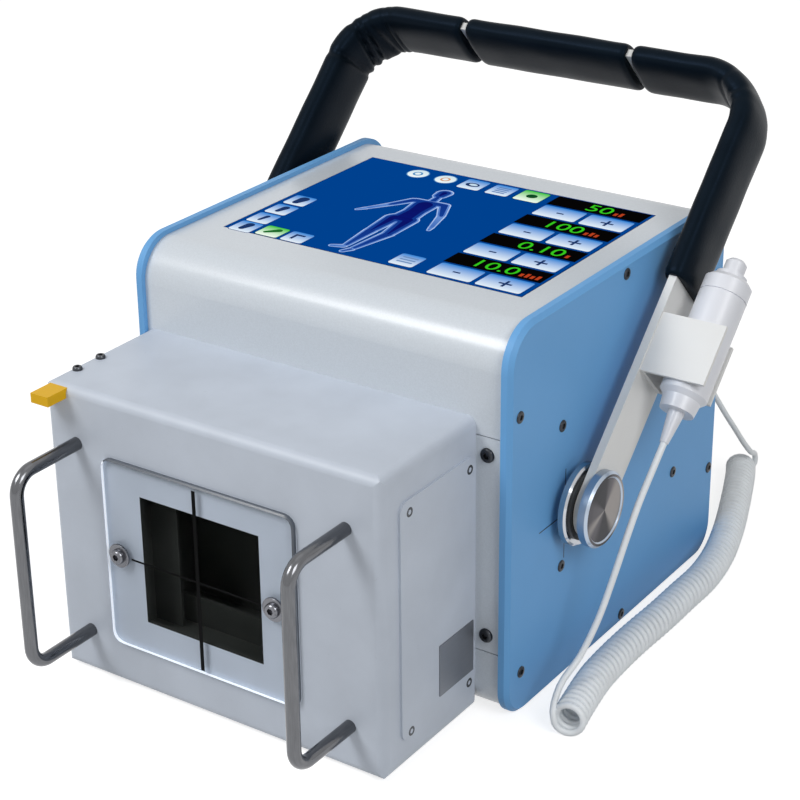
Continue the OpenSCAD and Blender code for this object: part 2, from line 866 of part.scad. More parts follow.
module rocker_switch() {
  lip = 2;
  wall = 1;
  play = 0.5;
  depth = 10;
  well = 5;
  paddle = 7;
  tilt = 8;
  color("#1B1C1E")
    translate([rocker_x, back_y, inlet_z]) {
      difference() {
        union() {
          translate([-rocker_w / 2 - lip, 0, -rocker_h / 2 - lip])
            cube([rocker_w + 2 * lip, lip, rocker_h + 2 * lip]);
          translate([-rocker_w / 2, -depth, -rocker_h / 2]) cube([rocker_w, depth + 1, rocker_h]);
        }
        translate([-rocker_w / 2 + wall, -well, -rocker_h / 2 + wall])
          cube([rocker_w - 2 * wall, well + lip + 1, rocker_h - 2 * wall]);
      }
      translate([0, -well, 0]) rotate([tilt, 0, 0])
        translate([-rocker_w / 2 + wall + play, -paddle / 4, -rocker_h / 2 + wall + 2 * play])
          cube([rocker_w - 2 * wall - 2 * play, paddle, rocker_h - 2 * wall - 4 * play]);
    }
}

hood();
front_plate();
back_plate();
base_tray();
side_panel_right();
side_panel_left();
screen_glass();
display_unit();
tube_housing();
limiter_box();
limiter_cover();
light_tunnel();
shutter_leaves();
window_plate();
guard_left();
guard_right();
tape_tab();
label_plate();
pivot_washer_right();
pivot_washer_left();
pivot_spacer_right();
pivot_spacer_left();
pivot_knob_right();
pivot_knob_left();
handle_bar();
grip_left();
grip_middle();
grip_right();
switch_clip();
switch_body();
switch_cap();
switch_button();
switch_relief();
cord_lead();
cord_coil();
cord_tail();
cord_gland();
mains_inlet();
rocker_switch();
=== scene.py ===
"""Dresses the portable x-ray machine: painted casing, lit screen, beam limiter,
padded carry handle, hand switch and coiled cord. Run as a script, it builds them all."""
import math

import bmesh
import bpy
from mathutils import Matrix, Vector, noise


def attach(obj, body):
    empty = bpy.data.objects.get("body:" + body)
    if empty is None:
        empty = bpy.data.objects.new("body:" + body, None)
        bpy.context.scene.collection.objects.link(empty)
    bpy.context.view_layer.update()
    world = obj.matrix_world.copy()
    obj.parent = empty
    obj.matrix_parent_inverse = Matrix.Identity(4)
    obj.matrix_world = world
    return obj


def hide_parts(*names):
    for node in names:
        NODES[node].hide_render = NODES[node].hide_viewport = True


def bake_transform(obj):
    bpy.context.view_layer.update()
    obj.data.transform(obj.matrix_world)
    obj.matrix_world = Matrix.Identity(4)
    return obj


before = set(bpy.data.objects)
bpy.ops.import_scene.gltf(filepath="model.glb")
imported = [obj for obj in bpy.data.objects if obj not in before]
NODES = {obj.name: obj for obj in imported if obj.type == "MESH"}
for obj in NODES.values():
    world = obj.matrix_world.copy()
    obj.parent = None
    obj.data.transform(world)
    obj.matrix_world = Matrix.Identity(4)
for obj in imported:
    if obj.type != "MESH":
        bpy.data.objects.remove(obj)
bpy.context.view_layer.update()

bl_info = {
    "name": "Portable X-ray Machine",
    "version": (1, 0, 0),
    "blender": (4, 5, 0),
    "location": "View3D > Sidebar > X-ray Machine",
    "description": "Builds the finishes and fine pieces of a portable x-ray machine round its frame",
    "category": "Object",
}

ROOT = "root"
HANDLE = "handle"
MM = 0.001


def srgb(colour_value):
    """The sRGB hex colour of linear red, green and blue."""
    parts = [c * 12.92 if c <= 0.0031308 else 1.055 * c ** (1 / 2.4) - 0.055
             for c in colour_value]
    return "#" + "".join(f"{round(c * 255):02X}" for c in parts)


def at(*millimetres):
    """A point or size given in millimetres, in metres."""
    return Vector(millimetres) * MM


def linear(hex_colour):
    """An sRGB hex colour as linear red, green and blue."""
    parts = [int(hex_colour[k:k + 2], 16) / 255 for k in (1, 3, 5)]
    return [c / 12.92 if c <= 0.04045 else ((c + 0.055) / 1.055) ** 2.4 for c in parts]


# Sizes of the frame that the fine pieces are set against, in millimetres

PIVOT = (0, -61, 116.5)
HANDLE_LEAN = math.radians(45.5)
ARM_X = 147
BOW_TOP = 282
BOW_BEND = 35
SLEEVE_START = 143
SLEEVE_GAP_X = 61
SLEEVE_GAP = 5
PANEL_FACE = 132.5
CASING_FRONT = -126
WINDOW = (-84.5, 31.25, 52.5, 152.75)
WINDOW_FACE = -221.5
WINDOW_BACK = -218.7
WINDOW_CORNER = 7
WINDOW_BEVEL = 0.9
APERTURE = (-58.5, 51, 26.5, 133)
LIMITER_FACE = -218.45
LIMITER_INSIDE = -215.45
LIMITER_SIDE = 108.5
LIMITER_TOP = 189.5
SCREEN_TOP = 242
SCREEN = (-105.5, -74.6, 105.5, 83.8)

# The routes of the cord, X from the arm's middle outward, from the switch to the gland

RELIEF_END = (173.5, -27.05, 149.86)
LEAD = ((26, -38, 138), (24.2, -50, 121), (22, -60, 101), (19.3, -69, 79),
        (16, -79, 56), (12.5, -93, 37), (9, -110, 24))
COIL_Z = 10.5
COIL = ((21.1, -120.9), (16.7, -101), (11.6, -72.2), (9.8, -44.6), (9.6, -17.1), (10.4, 11.8),
        (10.3, 41.1), (10.1, 71.5), (5.3, 102.5), (-4.5, 137.2), (-17.7, 174.5), (-32.5, 212.8),
        (-40.2, 229.7))
TAIL = ((-31.5, 233, 20), (-29, 220, 28), (-29, 206.6, 41), (-29, 191.8, 57), (-30, 177, 74),
        (-33, 163.5, 93), (-35, 155, 103.5), (-35, 150, 104))


# Sizes of the fine pieces, in millimetres

PANEL_SCREWS = ((-2, 237.6), (-119.5, 192.7), (-72.6, 168.8), (-70.5, 77.5), (69.6, 79.7),
                (69.6, 168.8), (121.5, 61), (121.5, 192.7), (6.8, 7), (-114.5, 28.1))
FOCUS = (-67.5, 110.6)
FOCUS_ARM = 29
LINE_DEPTH = 0.06
INLET_X = -70
INLET_Z = 78
BEAM_Z = 92
CROSS_X = -16
WINDOW_SCREWS = (-74, 37.7)
BAR_T = 5
BAR_W = 36
SLEEVE_CLEAR = 0.2
SLEEVE_POWER = 2.8
BORE_POWER = 12
HEM_TUCK = 1.8
LUMP = 0.35
SLEEVE_CREASES = {
    "left": (((-24, 1.1, 2.4, 5), (-9, 1.5, 2.2, -3), (-2, 1.2, 1.8, -2), (8, 0.8, 2, 4),
              (16, 0.5, 1.4, 0), (21, 0.4, 1.2, 1)), 1.2),
    "middle": ((), 0.0),
    "right": (((-14, 0.5, 2.4, -3), (-3, 0.9, 2.2, 2), (7, 0.6, 2, -2)), 1.2),
}

# The lit picture: thickness of its plates, pitch of its rows and its colours

PICTURE_COLOUR = "Picture"
PLATE = 0.04
DIGIT_WIDTH = 1.15
ROW_PITCH = 39.2
BLACK = "#060505"
GREEN = "#35C81E"
ORANGE = "#B8401E"
NAVY = "#1B3566"
KEY_FRONT = "#E4EFF8"
KEY_BACK = "#2B84D6"
# Each limb of the figure: one end and its radius, the other end and its radius
FIGURE = (
    (-25.6, 48.6, 6, -25.4, 43, 5.2), (-24.6, 39, 3.2, -23.8, 33, 3.6),
    (-33.5, 27.5, 4.4, -14.4, 28.8, 4.4), (-24, 23.5, 9.4, -22.6, 10, 8.4),
    (-22.6, 10, 8.4, -22, -2, 9.4), (-26.8, -5, 7.2, -17.4, -5, 7.4),
    (-27.6, -6, 6.8, -26.4, -32, 4.6), (-26.4, -32, 4.8, -24.6, -60, 2.6),
    (-25, -62.5, 2.8, -31.6, -65.4, 2), (-17, -6, 7, -14, -32, 4.7),
    (-14, -32, 4.9, -17.6, -62, 2.7), (-18, -64.6, 2.8, -20.6, -69.6, 2.2),
    (-13, 29, 4.2, -4.4, 12, 3.1), (-4.4, 12, 3, 1.6, -8, 2.1), (1.6, -8, 2.2, 2.8, -13, 1.5),
    (-35, 27, 4.2, -43, 13, 3.1), (-43, 13, 3, -52, -1, 2.1), (-52, -1, 2.3, -55.4, -5.6, 1.5),
)

# Painted reflection on a turned knob, a fan of painted highlight and painted shade: part of a turn from
# behind, and shade
FAN_PAINTED_SHADE = "#1F1E23"
FAN_PAINTED_MIDDLE = "#4C494D"
FAN_PAINTED_HIGHLIGHT = "#827D7A"
PAINTED_REFLECTION_FAN = ((0.0, FAN_PAINTED_MIDDLE), (0.06, FAN_PAINTED_HIGHLIGHT), (0.11, FAN_PAINTED_MIDDLE), (0.2, FAN_PAINTED_SHADE),
       (0.29, FAN_PAINTED_SHADE), (0.36, FAN_PAINTED_HIGHLIGHT), (0.6, FAN_PAINTED_HIGHLIGHT), (0.68, FAN_PAINTED_MIDDLE),
       (0.74, FAN_PAINTED_SHADE), (0.86, FAN_PAINTED_SHADE), (0.93, FAN_PAINTED_MIDDLE))

# The light: name, place in metres, size in metres and power in watts of each lamp

LAMPS = (("key", (-0.9, -1.55, 1.95), 1.0, 33), ("side", (1.7, -0.8, 1.5), 1.0, 20),
         ("top", (0.1, 0.4, 2.2), 1.4, 2))
ROOM_LIGHT = 0.24
FLOOR_LIFT = 0.75


# Properties

def length(name, millimetres, description):
    return bpy.props.FloatProperty(name=name, description=description, default=millimetres * MM,
                                   min=0, precision=5, unit="LENGTH")


def angle(name, degrees, description):
    return bpy.props.FloatProperty(name=name, description=description,
                                   default=math.radians(degrees), unit="ROTATION")


def count(name, number, description):
    return bpy.props.IntProperty(name=name, description=description, default=number, min=1)


def colour(name, hex_colour, description):
    return bpy.props.FloatVectorProperty(name=name, description=description, size=3,
                                         subtype="COLOR", min=0, max=1,
                                         default=linear(hex_colour))


class XrayColours(bpy.types.PropertyGroup):
    pearl: colour("Pearl", "#CAD1D8", "Pearl white paint of the casing")
    blue: colour("Blue", "#6CA7DC", "Blue paint of the side panels")
    cool_white: colour("Cool white", "#BFC7D3", "Powder coat of the beam limiter")
    warm_white: colour("Warm white", "#DEDEDC", "Paint of the handle bar and the clip")
    leather: colour("Leather", "#0B1218", "Padded sleeves of the handle")
    plastic: colour("White plastic", "#DCDEE4", "Hand switch")
    cord: colour("Cord", "#EEF2F5", "Jacket of the cord")
    tab: colour("Tab", "#E0AE12", "Pull tab of the distance tape")
    screen_blue: colour("Screen blue", "#00418F", "Background of the lit screen")


class XrayCamera(bpy.types.PropertyGroup):
    place: bpy.props.FloatVectorProperty(
        name="Place", description="Where the camera stands", size=3, subtype="TRANSLATION",
        default=at(666.2, -1014.3, 684.4))
    azimuth: angle("Azimuth", 34.4, "Turn about the machine, from its front to its right")
    elevation: angle("Elevation", 24.8, "Height of the view above level")
    roll: angle("Roll", -0.63, "Roll about the view's axis")
    lens: bpy.props.FloatProperty(
        name="Lens", description="Focal length on a 36 mm sensor, in millimetres", default=95.2)


class XrayCord(bpy.types.PropertyGroup):
    diameter: length("Diameter", 4, "Diameter of the cord's jacket")
    coil_outside: length("Coil", 21, "Outside diameter of the coiled stretch")
    pitch: length("Pitch", 4.9, "Distance from one turn of the coil to the next")
    ring: count("Ring", 10, "Number of points round the cord")
    turn: count("Turn", 18, "Number of points in one turn of the coil")


class XraySleeve(bpy.types.PropertyGroup):
    thick: length("Thickness", 17, "Sleeve through its thin side")
    wide: length("Width", 44, "Sleeve across its wide side")
    ring: count("Ring", 56, "Number of points round a sleeve")
    step: length("Step", 1.6, "Distance from one ring of points to the next")
    crease: length("Crease", 2, "Depth of the creases inside a corner")
    swell: length("Swell", 1.2, "How far the padding stands out at a corner")
    hem: length("Hem", 4, "Length over which an end is rounded")


# Material building

def add(tree, kind, inputs=None, **settings):
    """Adds a node, with its settings, and its inputs as values or as links."""
    node = tree.nodes.new(kind)
    for name, value in settings.items():
        setattr(node, name, value)
    for name, value in (inputs or {}).items():
        if isinstance(value, bpy.types.NodeSocket):
            tree.links.new(value, node.inputs[name])
        else:
            node.inputs[name].default_value = value
    return node


def surface(name, colour_value, roughness, **inputs):
    """A named material with a Principled surface: the material, its tree and its shader."""
    material = bpy.data.materials.new(name)
    material.use_nodes = True
    tree = material.node_tree
    tree.nodes.clear()
    shader = add(tree, "ShaderNodeBsdfPrincipled")
    shader.inputs["Base Color"].default_value = (*colour_value, 1)
    shader.inputs["Roughness"].default_value = roughness
    for key, value in inputs.items():
        shader.inputs[key.replace("_", " ")].default_value = value
    out = add(tree, "ShaderNodeOutputMaterial")
    tree.links.new(shader.outputs[0], out.inputs["Surface"])
    return material, tree, shader


def position(tree):
    return add(tree, "ShaderNodeTexCoord").outputs["Object"]


def per_metre(millimetres):
    """The scale of a noise whose features are this far apart."""
    return 1 / (millimetres * MM)


def shades(tree, shader, factor, dark, light):
    """Drives the base colour between two colours."""
    tint = add(tree, "ShaderNodeMix", {"Factor": factor}, data_type="RGBA")
    tint.inputs["A"].default_value = (*[min(1, c) for c in dark], 1)
    tint.inputs["B"].default_value = (*[min(1, c) for c in light], 1)
    tree.links.new(tint.outputs["Result"], shader.inputs["Base Color"])


def scaled(colour_value, factor):
    return [c * factor for c in colour_value]


def relief(tree, shader, height, depth, strength):
    """Bump of a given depth in metres."""
    bump = add(tree, "ShaderNodeBump", {"Height": height, "Strength": strength,
                                        "Distance": depth})
    tree.links.new(bump.outputs["Normal"], shader.inputs["Normal"])


def uneven(tree, shader, factor, low, high):
    """Drives the roughness between two values."""
    spread = add(tree, "ShaderNodeMapRange", {"Value": factor, "To Min": low, "To Max": high})
    tree.links.new(spread.outputs["Result"], shader.inputs["Roughness"])


def use(obj, *materials):
    obj.data.materials.clear()
    for material in materials:
        obj.data.materials.append(material)


def settings():
    return bpy.context.scene.xray_colours


# Materials

def sprayed_pearl_paint():
    """Two-pack pearl paint on a moulding: soft gloss, a faint orange peel and fine flake.
    The flake is drawn coarser than it is, so that it shows."""
    m, t, s = surface("Sprayed pearl paint", settings().pearl, 0.34, Coat_Weight=0.45,
                      Coat_Roughness=0.2)
    where = position(t)
    flake = add(t, "ShaderNodeTexVoronoi", {"Vector": where, "Scale": per_metre(0.7)})
    shades(t, s, flake.outputs["Color"], scaled(settings().pearl, 0.96),
           scaled(settings().pearl, 1.04))
    peel = add(t, "ShaderNodeTexNoise", {"Vector": where, "Scale": per_metre(2.5), "Detail": 2.0})
    relief(t, s, peel.outputs["Fac"], 0.05 * MM, 0.12)
    return m


def satin_blue_enamel():
    """Baked satin enamel on aluminium plate: even colour with a fine orange peel."""
    m, t, s = surface("Satin blue enamel", settings().blue, 0.45, Specular_IOR_Level=0.2)
    where = position(t)
    cloud = add(t, "ShaderNodeTexNoise", {"Vector": where, "Scale": per_metre(60), "Detail": 3.0})
    shades(t, s, cloud.outputs["Fac"], scaled(settings().blue, 0.93),
           scaled(settings().blue, 1.05))
    peel = add(t, "ShaderNodeTexNoise", {"Vector": where, "Scale": per_metre(1.4), "Detail": 2.0})
    relief(t, s, peel.outputs["Fac"], 0.06 * MM, 0.2)
    return m


def textured_powder_coat():
    """Powder coat on folded sheet: satin, with the small pimples that the powder leaves,
    and a few specks where the coat is scuffed."""
    m, t, s = surface("Textured powder coat", settings().cool_white, 0.46)
    where = position(t)
    cloud = add(t, "ShaderNodeTexNoise", {"Vector": where, "Scale": per_metre(35), "Detail": 4.0})
    speck = add(t, "ShaderNodeTexNoise", {"Vector": where, "Scale": per_metre(4), "Detail": 6.0,
                                          "Roughness": 0.7})
    few = add(t, "ShaderNodeMapRange", {"Value": speck.outputs["Fac"], "From Min": 0.28,
                                        "From Max": 0.33})
    both = add(t, "ShaderNodeMath", {0: cloud.outputs["Fac"], 1: few.outputs["Result"]},
               operation="MULTIPLY")
    shades(t, s, both.outputs[0], scaled(settings().cool_white, 0.86),
           scaled(settings().cool_white, 1.1))
    peel = add(t, "ShaderNodeTexNoise", {"Vector": where, "Scale": per_metre(1.6), "Detail": 3.0})
    relief(t, s, peel.outputs["Fac"], 0.1 * MM, 0.35)
    return m


def satin_white_paint():
    """Satin paint on a bent steel bar: a little rough where the hand wears it."""
    m, t, s = surface("Satin white paint", settings().warm_white, 0.38)
    where = position(t)
    wear = add(t, "ShaderNodeTexNoise", {"Vector": where, "Scale": per_metre(25), "Detail": 4.0})
    uneven(t, s, wear.outputs["Fac"], 0.3, 0.48)
    shades(t, s, wear.outputs["Fac"], scaled(settings().warm_white, 0.95),
           scaled(settings().warm_white, 1.04))
    peel = add(t, "ShaderNodeTexNoise", {"Vector": where, "Scale": per_metre(1.8), "Detail": 2.0})
    relief(t, s, peel.outputs["Fac"], 0.06 * MM, 0.15)
    return m


def drawn_stainless():
    """Drawn stainless rod: bright where it mirrors the lamps, with faint lines round it."""
    m, t, s = surface("Drawn stainless steel", linear("#6C6E72"), 0.2, Metallic=1.0)
    where = position(t)
    stretch = add(t, "ShaderNodeMapping", {"Vector": where, "Scale": (1.0, 0.05, 0.05)})
    lines = add(t, "ShaderNodeTexNoise", {"Vector": stretch.outputs["Vector"],
                                          "Scale": per_metre(0.5), "Detail": 2.0})
    shades(t, s, lines.outputs["Fac"], linear("#5A5B5E"), linear("#76777A"))
    uneven(t, s, lines.outputs["Fac"], 0.12, 0.26)
    return m


def turned_stainless():
    """Stainless steel faced on a lathe: dark, with painted reflection in its colour, lighter bands
    that fan out from the centre as a painted highlight. The lathe's rings are drawn coarser than they
    are, so that they show."""
    m, t, s = surface("Turned stainless steel", linear("#55545A"), 0.28, Metallic=1.0)
    upright = add(t, "ShaderNodeMapping", {"Vector": position(t), "Location": -at(*PIVOT)})
    axes = add(t, "ShaderNodeSeparateXYZ", {"Vector": upright.outputs["Vector"]})
    flat = add(t, "ShaderNodeCombineXYZ", {"X": axes.outputs["Y"], "Y": axes.outputs["Z"]})
    # Painted reflection: the base colour runs through light and dark bands by angle about the pivot
    reflection_turn = add(t, "ShaderNodeTexGradient", {"Vector": flat.outputs["Vector"]},
              gradient_type="RADIAL")
    reflection_bands = add(t, "ShaderNodeValToRGB", {"Fac": reflection_turn.outputs["Fac"]})
    reflection_bands.color_ramp.interpolation = "EASE"
    stops = reflection_bands.color_ramp.elements
    stops[0].color = (*linear(PAINTED_REFLECTION_FAN[0][1]), 1)
    stops[1].color = (*linear(PAINTED_REFLECTION_FAN[0][1]), 1)
    for part, band in PAINTED_REFLECTION_FAN[1:]:
        stops.new(part).color = (*linear(band), 1)
    side = add(t, "ShaderNodeSeparateXYZ",
               {"Vector": add(t, "ShaderNodeTexCoord").outputs["Normal"]})
    faced = add(t, "ShaderNodeMath", {0: side.outputs["X"]}, operation="ABSOLUTE")
    face = add(t, "ShaderNodeMapRange", {"Value": faced.outputs[0], "From Min": 0.9,
                                         "From Max": 0.98})
    both = add(t, "ShaderNodeMix", {"Factor": face.outputs["Result"]}, data_type="RGBA")
    both.inputs["A"].default_value = (*linear("#A9B4C2"), 1)
    t.links.new(reflection_bands.outputs["Color"], both.inputs["B"])
    t.links.new(both.outputs["Result"], s.inputs["Base Color"])
    rings = add(t, "ShaderNodeTexWave", {"Vector": flat.outputs["Vector"],
                                         "Scale": per_metre(0.9) / 20},
                wave_type="RINGS", rings_direction="SPHERICAL")
    relief(t, s, rings.outputs["Fac"], 0.02 * MM, 0.3)
    return m


def polished_stainless():
    """Polished stainless washer: a mirror with light handling marks."""
    m, t, s = surface("Polished stainless steel", linear("#B4B7BC"), 0.12, Metallic=1.0)
    wear = add(t, "ShaderNodeTexNoise", {"Vector": position(t), "Scale": per_metre(9),
                                         "Detail": 3.0})
    uneven(t, s, wear.outputs["Fac"], 0.08, 0.2)
    return m


def grained_leatherette():
    """Leatherette over foam: near black and soft, with a fine pebble grain and a slight sheen
    where hands rub it."""
    m, t, s = surface("Grained leatherette", settings().leather, 0.4,
                      Specular_IOR_Level=0.07)
    s.inputs["Specular Tint"].default_value = (*linear("#8FB6EE"), 1)
    where = position(t)
    soft = add(t, "ShaderNodeTexNoise", {"Vector": where, "Scale": per_metre(14), "Detail": 3.0})
    uneven(t, s, soft.outputs["Fac"], 0.3, 0.44)
    shades(t, s, soft.outputs["Fac"], scaled(settings().leather, 0.8),
           scaled(settings().leather, 1.5))
    grain = add(t, "ShaderNodeTexVoronoi", {"Vector": where, "Scale": per_metre(1.1)})
    relief(t, s, grain.outputs["Distance"], 0.16 * MM, 0.3)
    return m


def moulded(name, base, roughness=0.3, gloss=0.5):
    """Injection-moulded plastic with a very fine spark-eroded texture."""
    m, t, s = surface(name, base, roughness, Specular_IOR_Level=gloss)
    where = position(t)
    flow = add(t, "ShaderNodeTexNoise", {"Vector": where, "Scale": per_metre(30), "Detail": 2.0})
    shades(t, s, flow.outputs["Fac"], scaled(base, 0.95), scaled(base, 1.05))
    grit = add(t, "ShaderNodeTexNoise", {"Vector": where, "Scale": per_metre(0.8), "Detail": 2.0})
    relief(t, s, grit.outputs["Fac"], 0.04 * MM, 0.12)
    return m


def extruded_pvc():
    """Soft PVC cord jacket: satin, dulled in patches by handling."""
    m, t, s = surface("Extruded soft PVC", settings().cord, 0.4)
    where = position(t)
    dull = add(t, "ShaderNodeTexNoise", {"Vector": where, "Scale": per_metre(18), "Detail": 4.0})
    shades(t, s, dull.outputs["Fac"], scaled(settings().cord, 0.9), scaled(settings().cord, 1.08))
    uneven(t, s, dull.outputs["Fac"], 0.32, 0.5)
    return m


def matt_black_paint():
    """Matt black paint on the limiter's inside, so that it throws no light back; on the walls of the
    opening it is painted shade.
    """
    m, t, s = surface("Matt black paint", linear("#050505"), 0.85, Specular_IOR_Level=0.05)
    dust = add(t, "ShaderNodeTexNoise", {"Vector": position(t), "Scale": per_metre(20),
                                         "Detail": 4.0})
    shades(t, s, dust.outputs["Fac"], linear("#262826"), linear("#3C3E3B"))
    return m


def clear_acrylic():
    """Cast acrylic sheet: see-through, with a gloss that grows towards a grazing view."""
    m, t, s = surface("Clear acrylic", linear("#FFFFFF"), 0.05, Specular_IOR_Level=0.5)
    out = t.nodes["Material Output"]
    t.nodes.remove(s)
    inside = add(t, "ShaderNodeNewGeometry")
    clear = add(t, "ShaderNodeBsdfTransparent", {"Color": (*linear("#FCFDFE"), 1)})
    gloss = add(t, "ShaderNodeBsdfGlossy", {"Roughness": 0.04})
    smear = add(t, "ShaderNodeTexNoise", {"Vector": position(t), "Scale": per_metre(24),
                                          "Detail": 3.0})
    spread = add(t, "ShaderNodeMapRange", {"Value": smear.outputs["Fac"], "To Min": 0.02,
                                           "To Max": 0.12})
    t.links.new(spread.outputs["Result"], gloss.inputs["Roughness"])
    edge = add(t, "ShaderNodeFresnel", {"IOR": 1.05})
    outer = add(t, "ShaderNodeMath", {0: edge.outputs[0], 1: inside.outputs["Backfacing"]},
                operation="SUBTRACT", use_clamp=True)
    mix = add(t, "ShaderNodeMixShader", {"Fac": outer.outputs[0]})
    t.links.new(clear.outputs[0], mix.inputs[1])
    t.links.new(gloss.outputs[0], mix.inputs[2])
    t.links.new(mix.outputs[0], out.inputs["Surface"])
    return m


def cut_acrylic(name, hex_colour, painted_glow):
    """Cut edge of the acrylic sheet, with painted light: the lower and left edges are painted as a
    pale line, a painted highlight that glows by emission though it is no lamp, while the upper and
    right ones are painted dark as painted shade of the sheet's inside."""
    # Painted glow: an emission of the edge's own colour, though the edge is no lamp
    m, t, s = surface(name, linear(hex_colour), 0.3, Emission_Strength=painted_glow)
    s.inputs["Emission Color"].default_value = (*linear(hex_colour), 1)
    saw = add(t, "ShaderNodeTexNoise", {"Vector": position(t), "Scale": per_metre(1.2),
                                        "Detail": 3.0})
    uneven(t, s, saw.outputs["Fac"], 0.2, 0.45)
    return m


def lit_display():
    """The lit picture of a liquid-crystal display, its colours kept in the mesh, under the
    faint gloss of its cover glass."""
    m, t, s = surface("Lit display", linear("#000000"), 0.25, Specular_IOR_Level=0.0,
                      Emission_Strength=1.0)
    own = add(t, "ShaderNodeVertexColor", layer_name=PICTURE_COLOUR)
    t.links.new(own.outputs["Color"], s.inputs["Emission Color"])
    smear = add(t, "ShaderNodeTexNoise", {"Vector": position(t), "Scale": per_metre(30),
                                          "Detail": 3.0})
    uneven(t, s, smear.outputs["Fac"], 0.2, 0.32)
    return m


def cover_glass():
    """Dark cover glass of the display, as it looks where nothing is lit."""
    m, t, s = surface("Cover glass", linear("#04101F"), 0.12, Specular_IOR_Level=0.3)
    smear = add(t, "ShaderNodeTexNoise", {"Vector": position(t), "Scale": per_metre(30),
                                          "Detail": 3.0})
    uneven(t, s, smear.outputs["Fac"], 0.08, 0.2)
    return m


def bare_metal(name, hex_colour, roughness):
    """Plain metal of a small fastener or plate, a little uneven from handling."""
    m, t, s = surface(name, linear(hex_colour), roughness, Metallic=1.0)
    wear = add(t, "ShaderNodeTexNoise", {"Vector": position(t), "Scale": per_metre(3),
                                         "Detail": 2.0})
    uneven(t, s, wear.outputs["Fac"], roughness * 0.8, roughness * 1.3)
    return m


def brushed_plate():
    """Brushed grey plate: fine lines along its long side."""
    m, t, s = surface("Brushed grey plate", linear("#787C83"), 0.45, Metallic=0.6)
    where = position(t)
    stretch = add(t, "ShaderNodeMapping", {"Vector": where, "Scale": (1.0, 0.04, 1.0)})
    lines = add(t, "ShaderNodeTexNoise", {"Vector": stretch.outputs["Vector"],
                                          "Scale": per_metre(0.4), "Detail": 3.0})
    uneven(t, s, lines.outputs["Fac"], 0.35, 0.55)
    relief(t, s, lines.outputs["Fac"], 0.02 * MM, 0.3)
    return m


# Mesh building

def piece(name, mesh, body, slot, *materials, stands_for=()):
    """Adds a mesh as a piece that rides on a body and takes the given materials; the slot is not used.
    """
    obj = bpy.data.objects.new(name, mesh)
    bpy.context.scene.collection.objects.link(obj)
    use(obj, *materials)
    if body:
        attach(obj, body)
    if stands_for:
        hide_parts(*stands_for)
    return obj


def shade(mesh, degrees=35):
    for face in mesh.polygons:
        face.use_smooth = True
    mesh.set_sharp_from_angle(angle=math.radians(degrees))
    return mesh


def finished(bm, name, degrees=35):
    bmesh.ops.recalc_face_normals(bm, faces=bm.faces)
    mesh = bpy.data.meshes.new(name)
    bm.to_mesh(mesh)
    bm.free()
    return shade(mesh, degrees)


def skin(bm, rings):
    """Faces between each ring of points and the next."""
    for one, two in zip(rings, rings[1:]):
        for k in range(len(one)):
            after = (k + 1) % len(one)
            bm.faces.new((one[k], one[after], two[after], two[k]))


def tube_mesh(name, path, radius, ring):
    """A round tube along a path, its rings carried along without twist."""
    bm = bmesh.new()
    last = len(path) - 1
    normal = None
    rings = []
    for i, point in enumerate(path):
        ahead = (path[min(i + 1, last)] - path[max(i - 1, 0)]).normalized()
        if normal is None:
            normal = ahead.orthogonal().normalized()
        normal = (normal - ahead * normal.dot(ahead)).normalized()
        other = ahead.cross(normal)
        turn = [2 * math.pi * k / ring for k in range(ring)]
        rings.append([bm.verts.new(point + radius * (math.cos(a) * normal + math.sin(a) * other))
                      for a in turn])
    skin(bm, rings)
    bm.faces.new(list(reversed(rings[0])))
    bm.faces.new(rings[-1])
    return finished(bm, name, 60)


def block(bm, low, high):
    """A box between two corners in millimetres."""
    corners = [bm.verts.new(at(x, y, z)) for z in (low[2], high[2])
               for x, y in ((low[0], low[1]), (high[0], low[1]), (high[0], high[1]),
                            (low[0], high[1]))]
    bottom = corners[:4]
    top = corners[4:]
    bm.faces.new(list(reversed(bottom)))
    bm.faces.new(top)
    skin(bm, [bottom, top])


def turned(bm, place, facing, profile, sides=24):
    """A turned solid: its profile is a list of radius and height in millimetres, where a
    radius below zero gives the corner radius of a hexagon."""
    stand = facing.to_track_quat("Z", "Y").to_matrix()
    rings = []
    for radius, height in profile:
        ring = []
        for k in range(sides):
            a = 2 * math.pi * k / sides
            reach = radius
            if radius < 0:
                past = a % (math.pi / 3) - math.pi / 6
                reach = -radius * math.cos(math.pi / 6) / math.cos(past)
            ring.append(bm.verts.new(at(*place) + stand @ at(reach * math.cos(a),
                                                             reach * math.sin(a), height)))
        rings.append(ring)
    skin(bm, rings)
    bm.faces.new(list(reversed(rings[0])))
    bm.faces.new(rings[-1])


def socket_screw(bm, place, facing, radius, height, socket):
    """A domed screw head with a hexagon socket."""
    turned(bm, place, facing, [(radius, -0.3), (radius, height * 0.4), (radius * 0.93, height * 0.75),
                               (radius * 0.78, height), (-socket * 1.06, height),
                               (-socket, height * 0.85), (-socket, height * 0.2)])


def screws(name, heads, slot, material):
    """Screw heads as one piece: place, facing, radius, height and socket of each."""
    bm = bmesh.new()
    for place, facing, radius, height, socket in heads:
        socket_screw(bm, place, Vector(facing), radius, height, socket)
    return piece(name, finished(bm, name), ROOT, slot, material)


# The cord's route

def blend_point(a, b, c, d, t):
    """A point of a smooth curve between b and c."""
    return ((2 * b) + (c - a) * t + (2 * a - 5 * b + 4 * c - d) * t * t
            + (3 * b - a - 3 * c + d) * t ** 3) / 2


def smooth_route(points, steps):
    last = len(points) - 1
    route = [blend_point(points[max(i - 1, 0)], points[i], points[i + 1],
                         points[min(i + 2, last)], k / steps)
             for i in range(last) for k in range(steps)]
    return route + [points[-1]]


def distances(route):
    """How far along the route each of its points is."""
    far = [0.0]
    for one, two in zip(route, route[1:]):
        far.append(far[-1] + (two - one).length)
    return far


def beside_arm(x, y, z):
    return at(ARM_X + x, y, z)


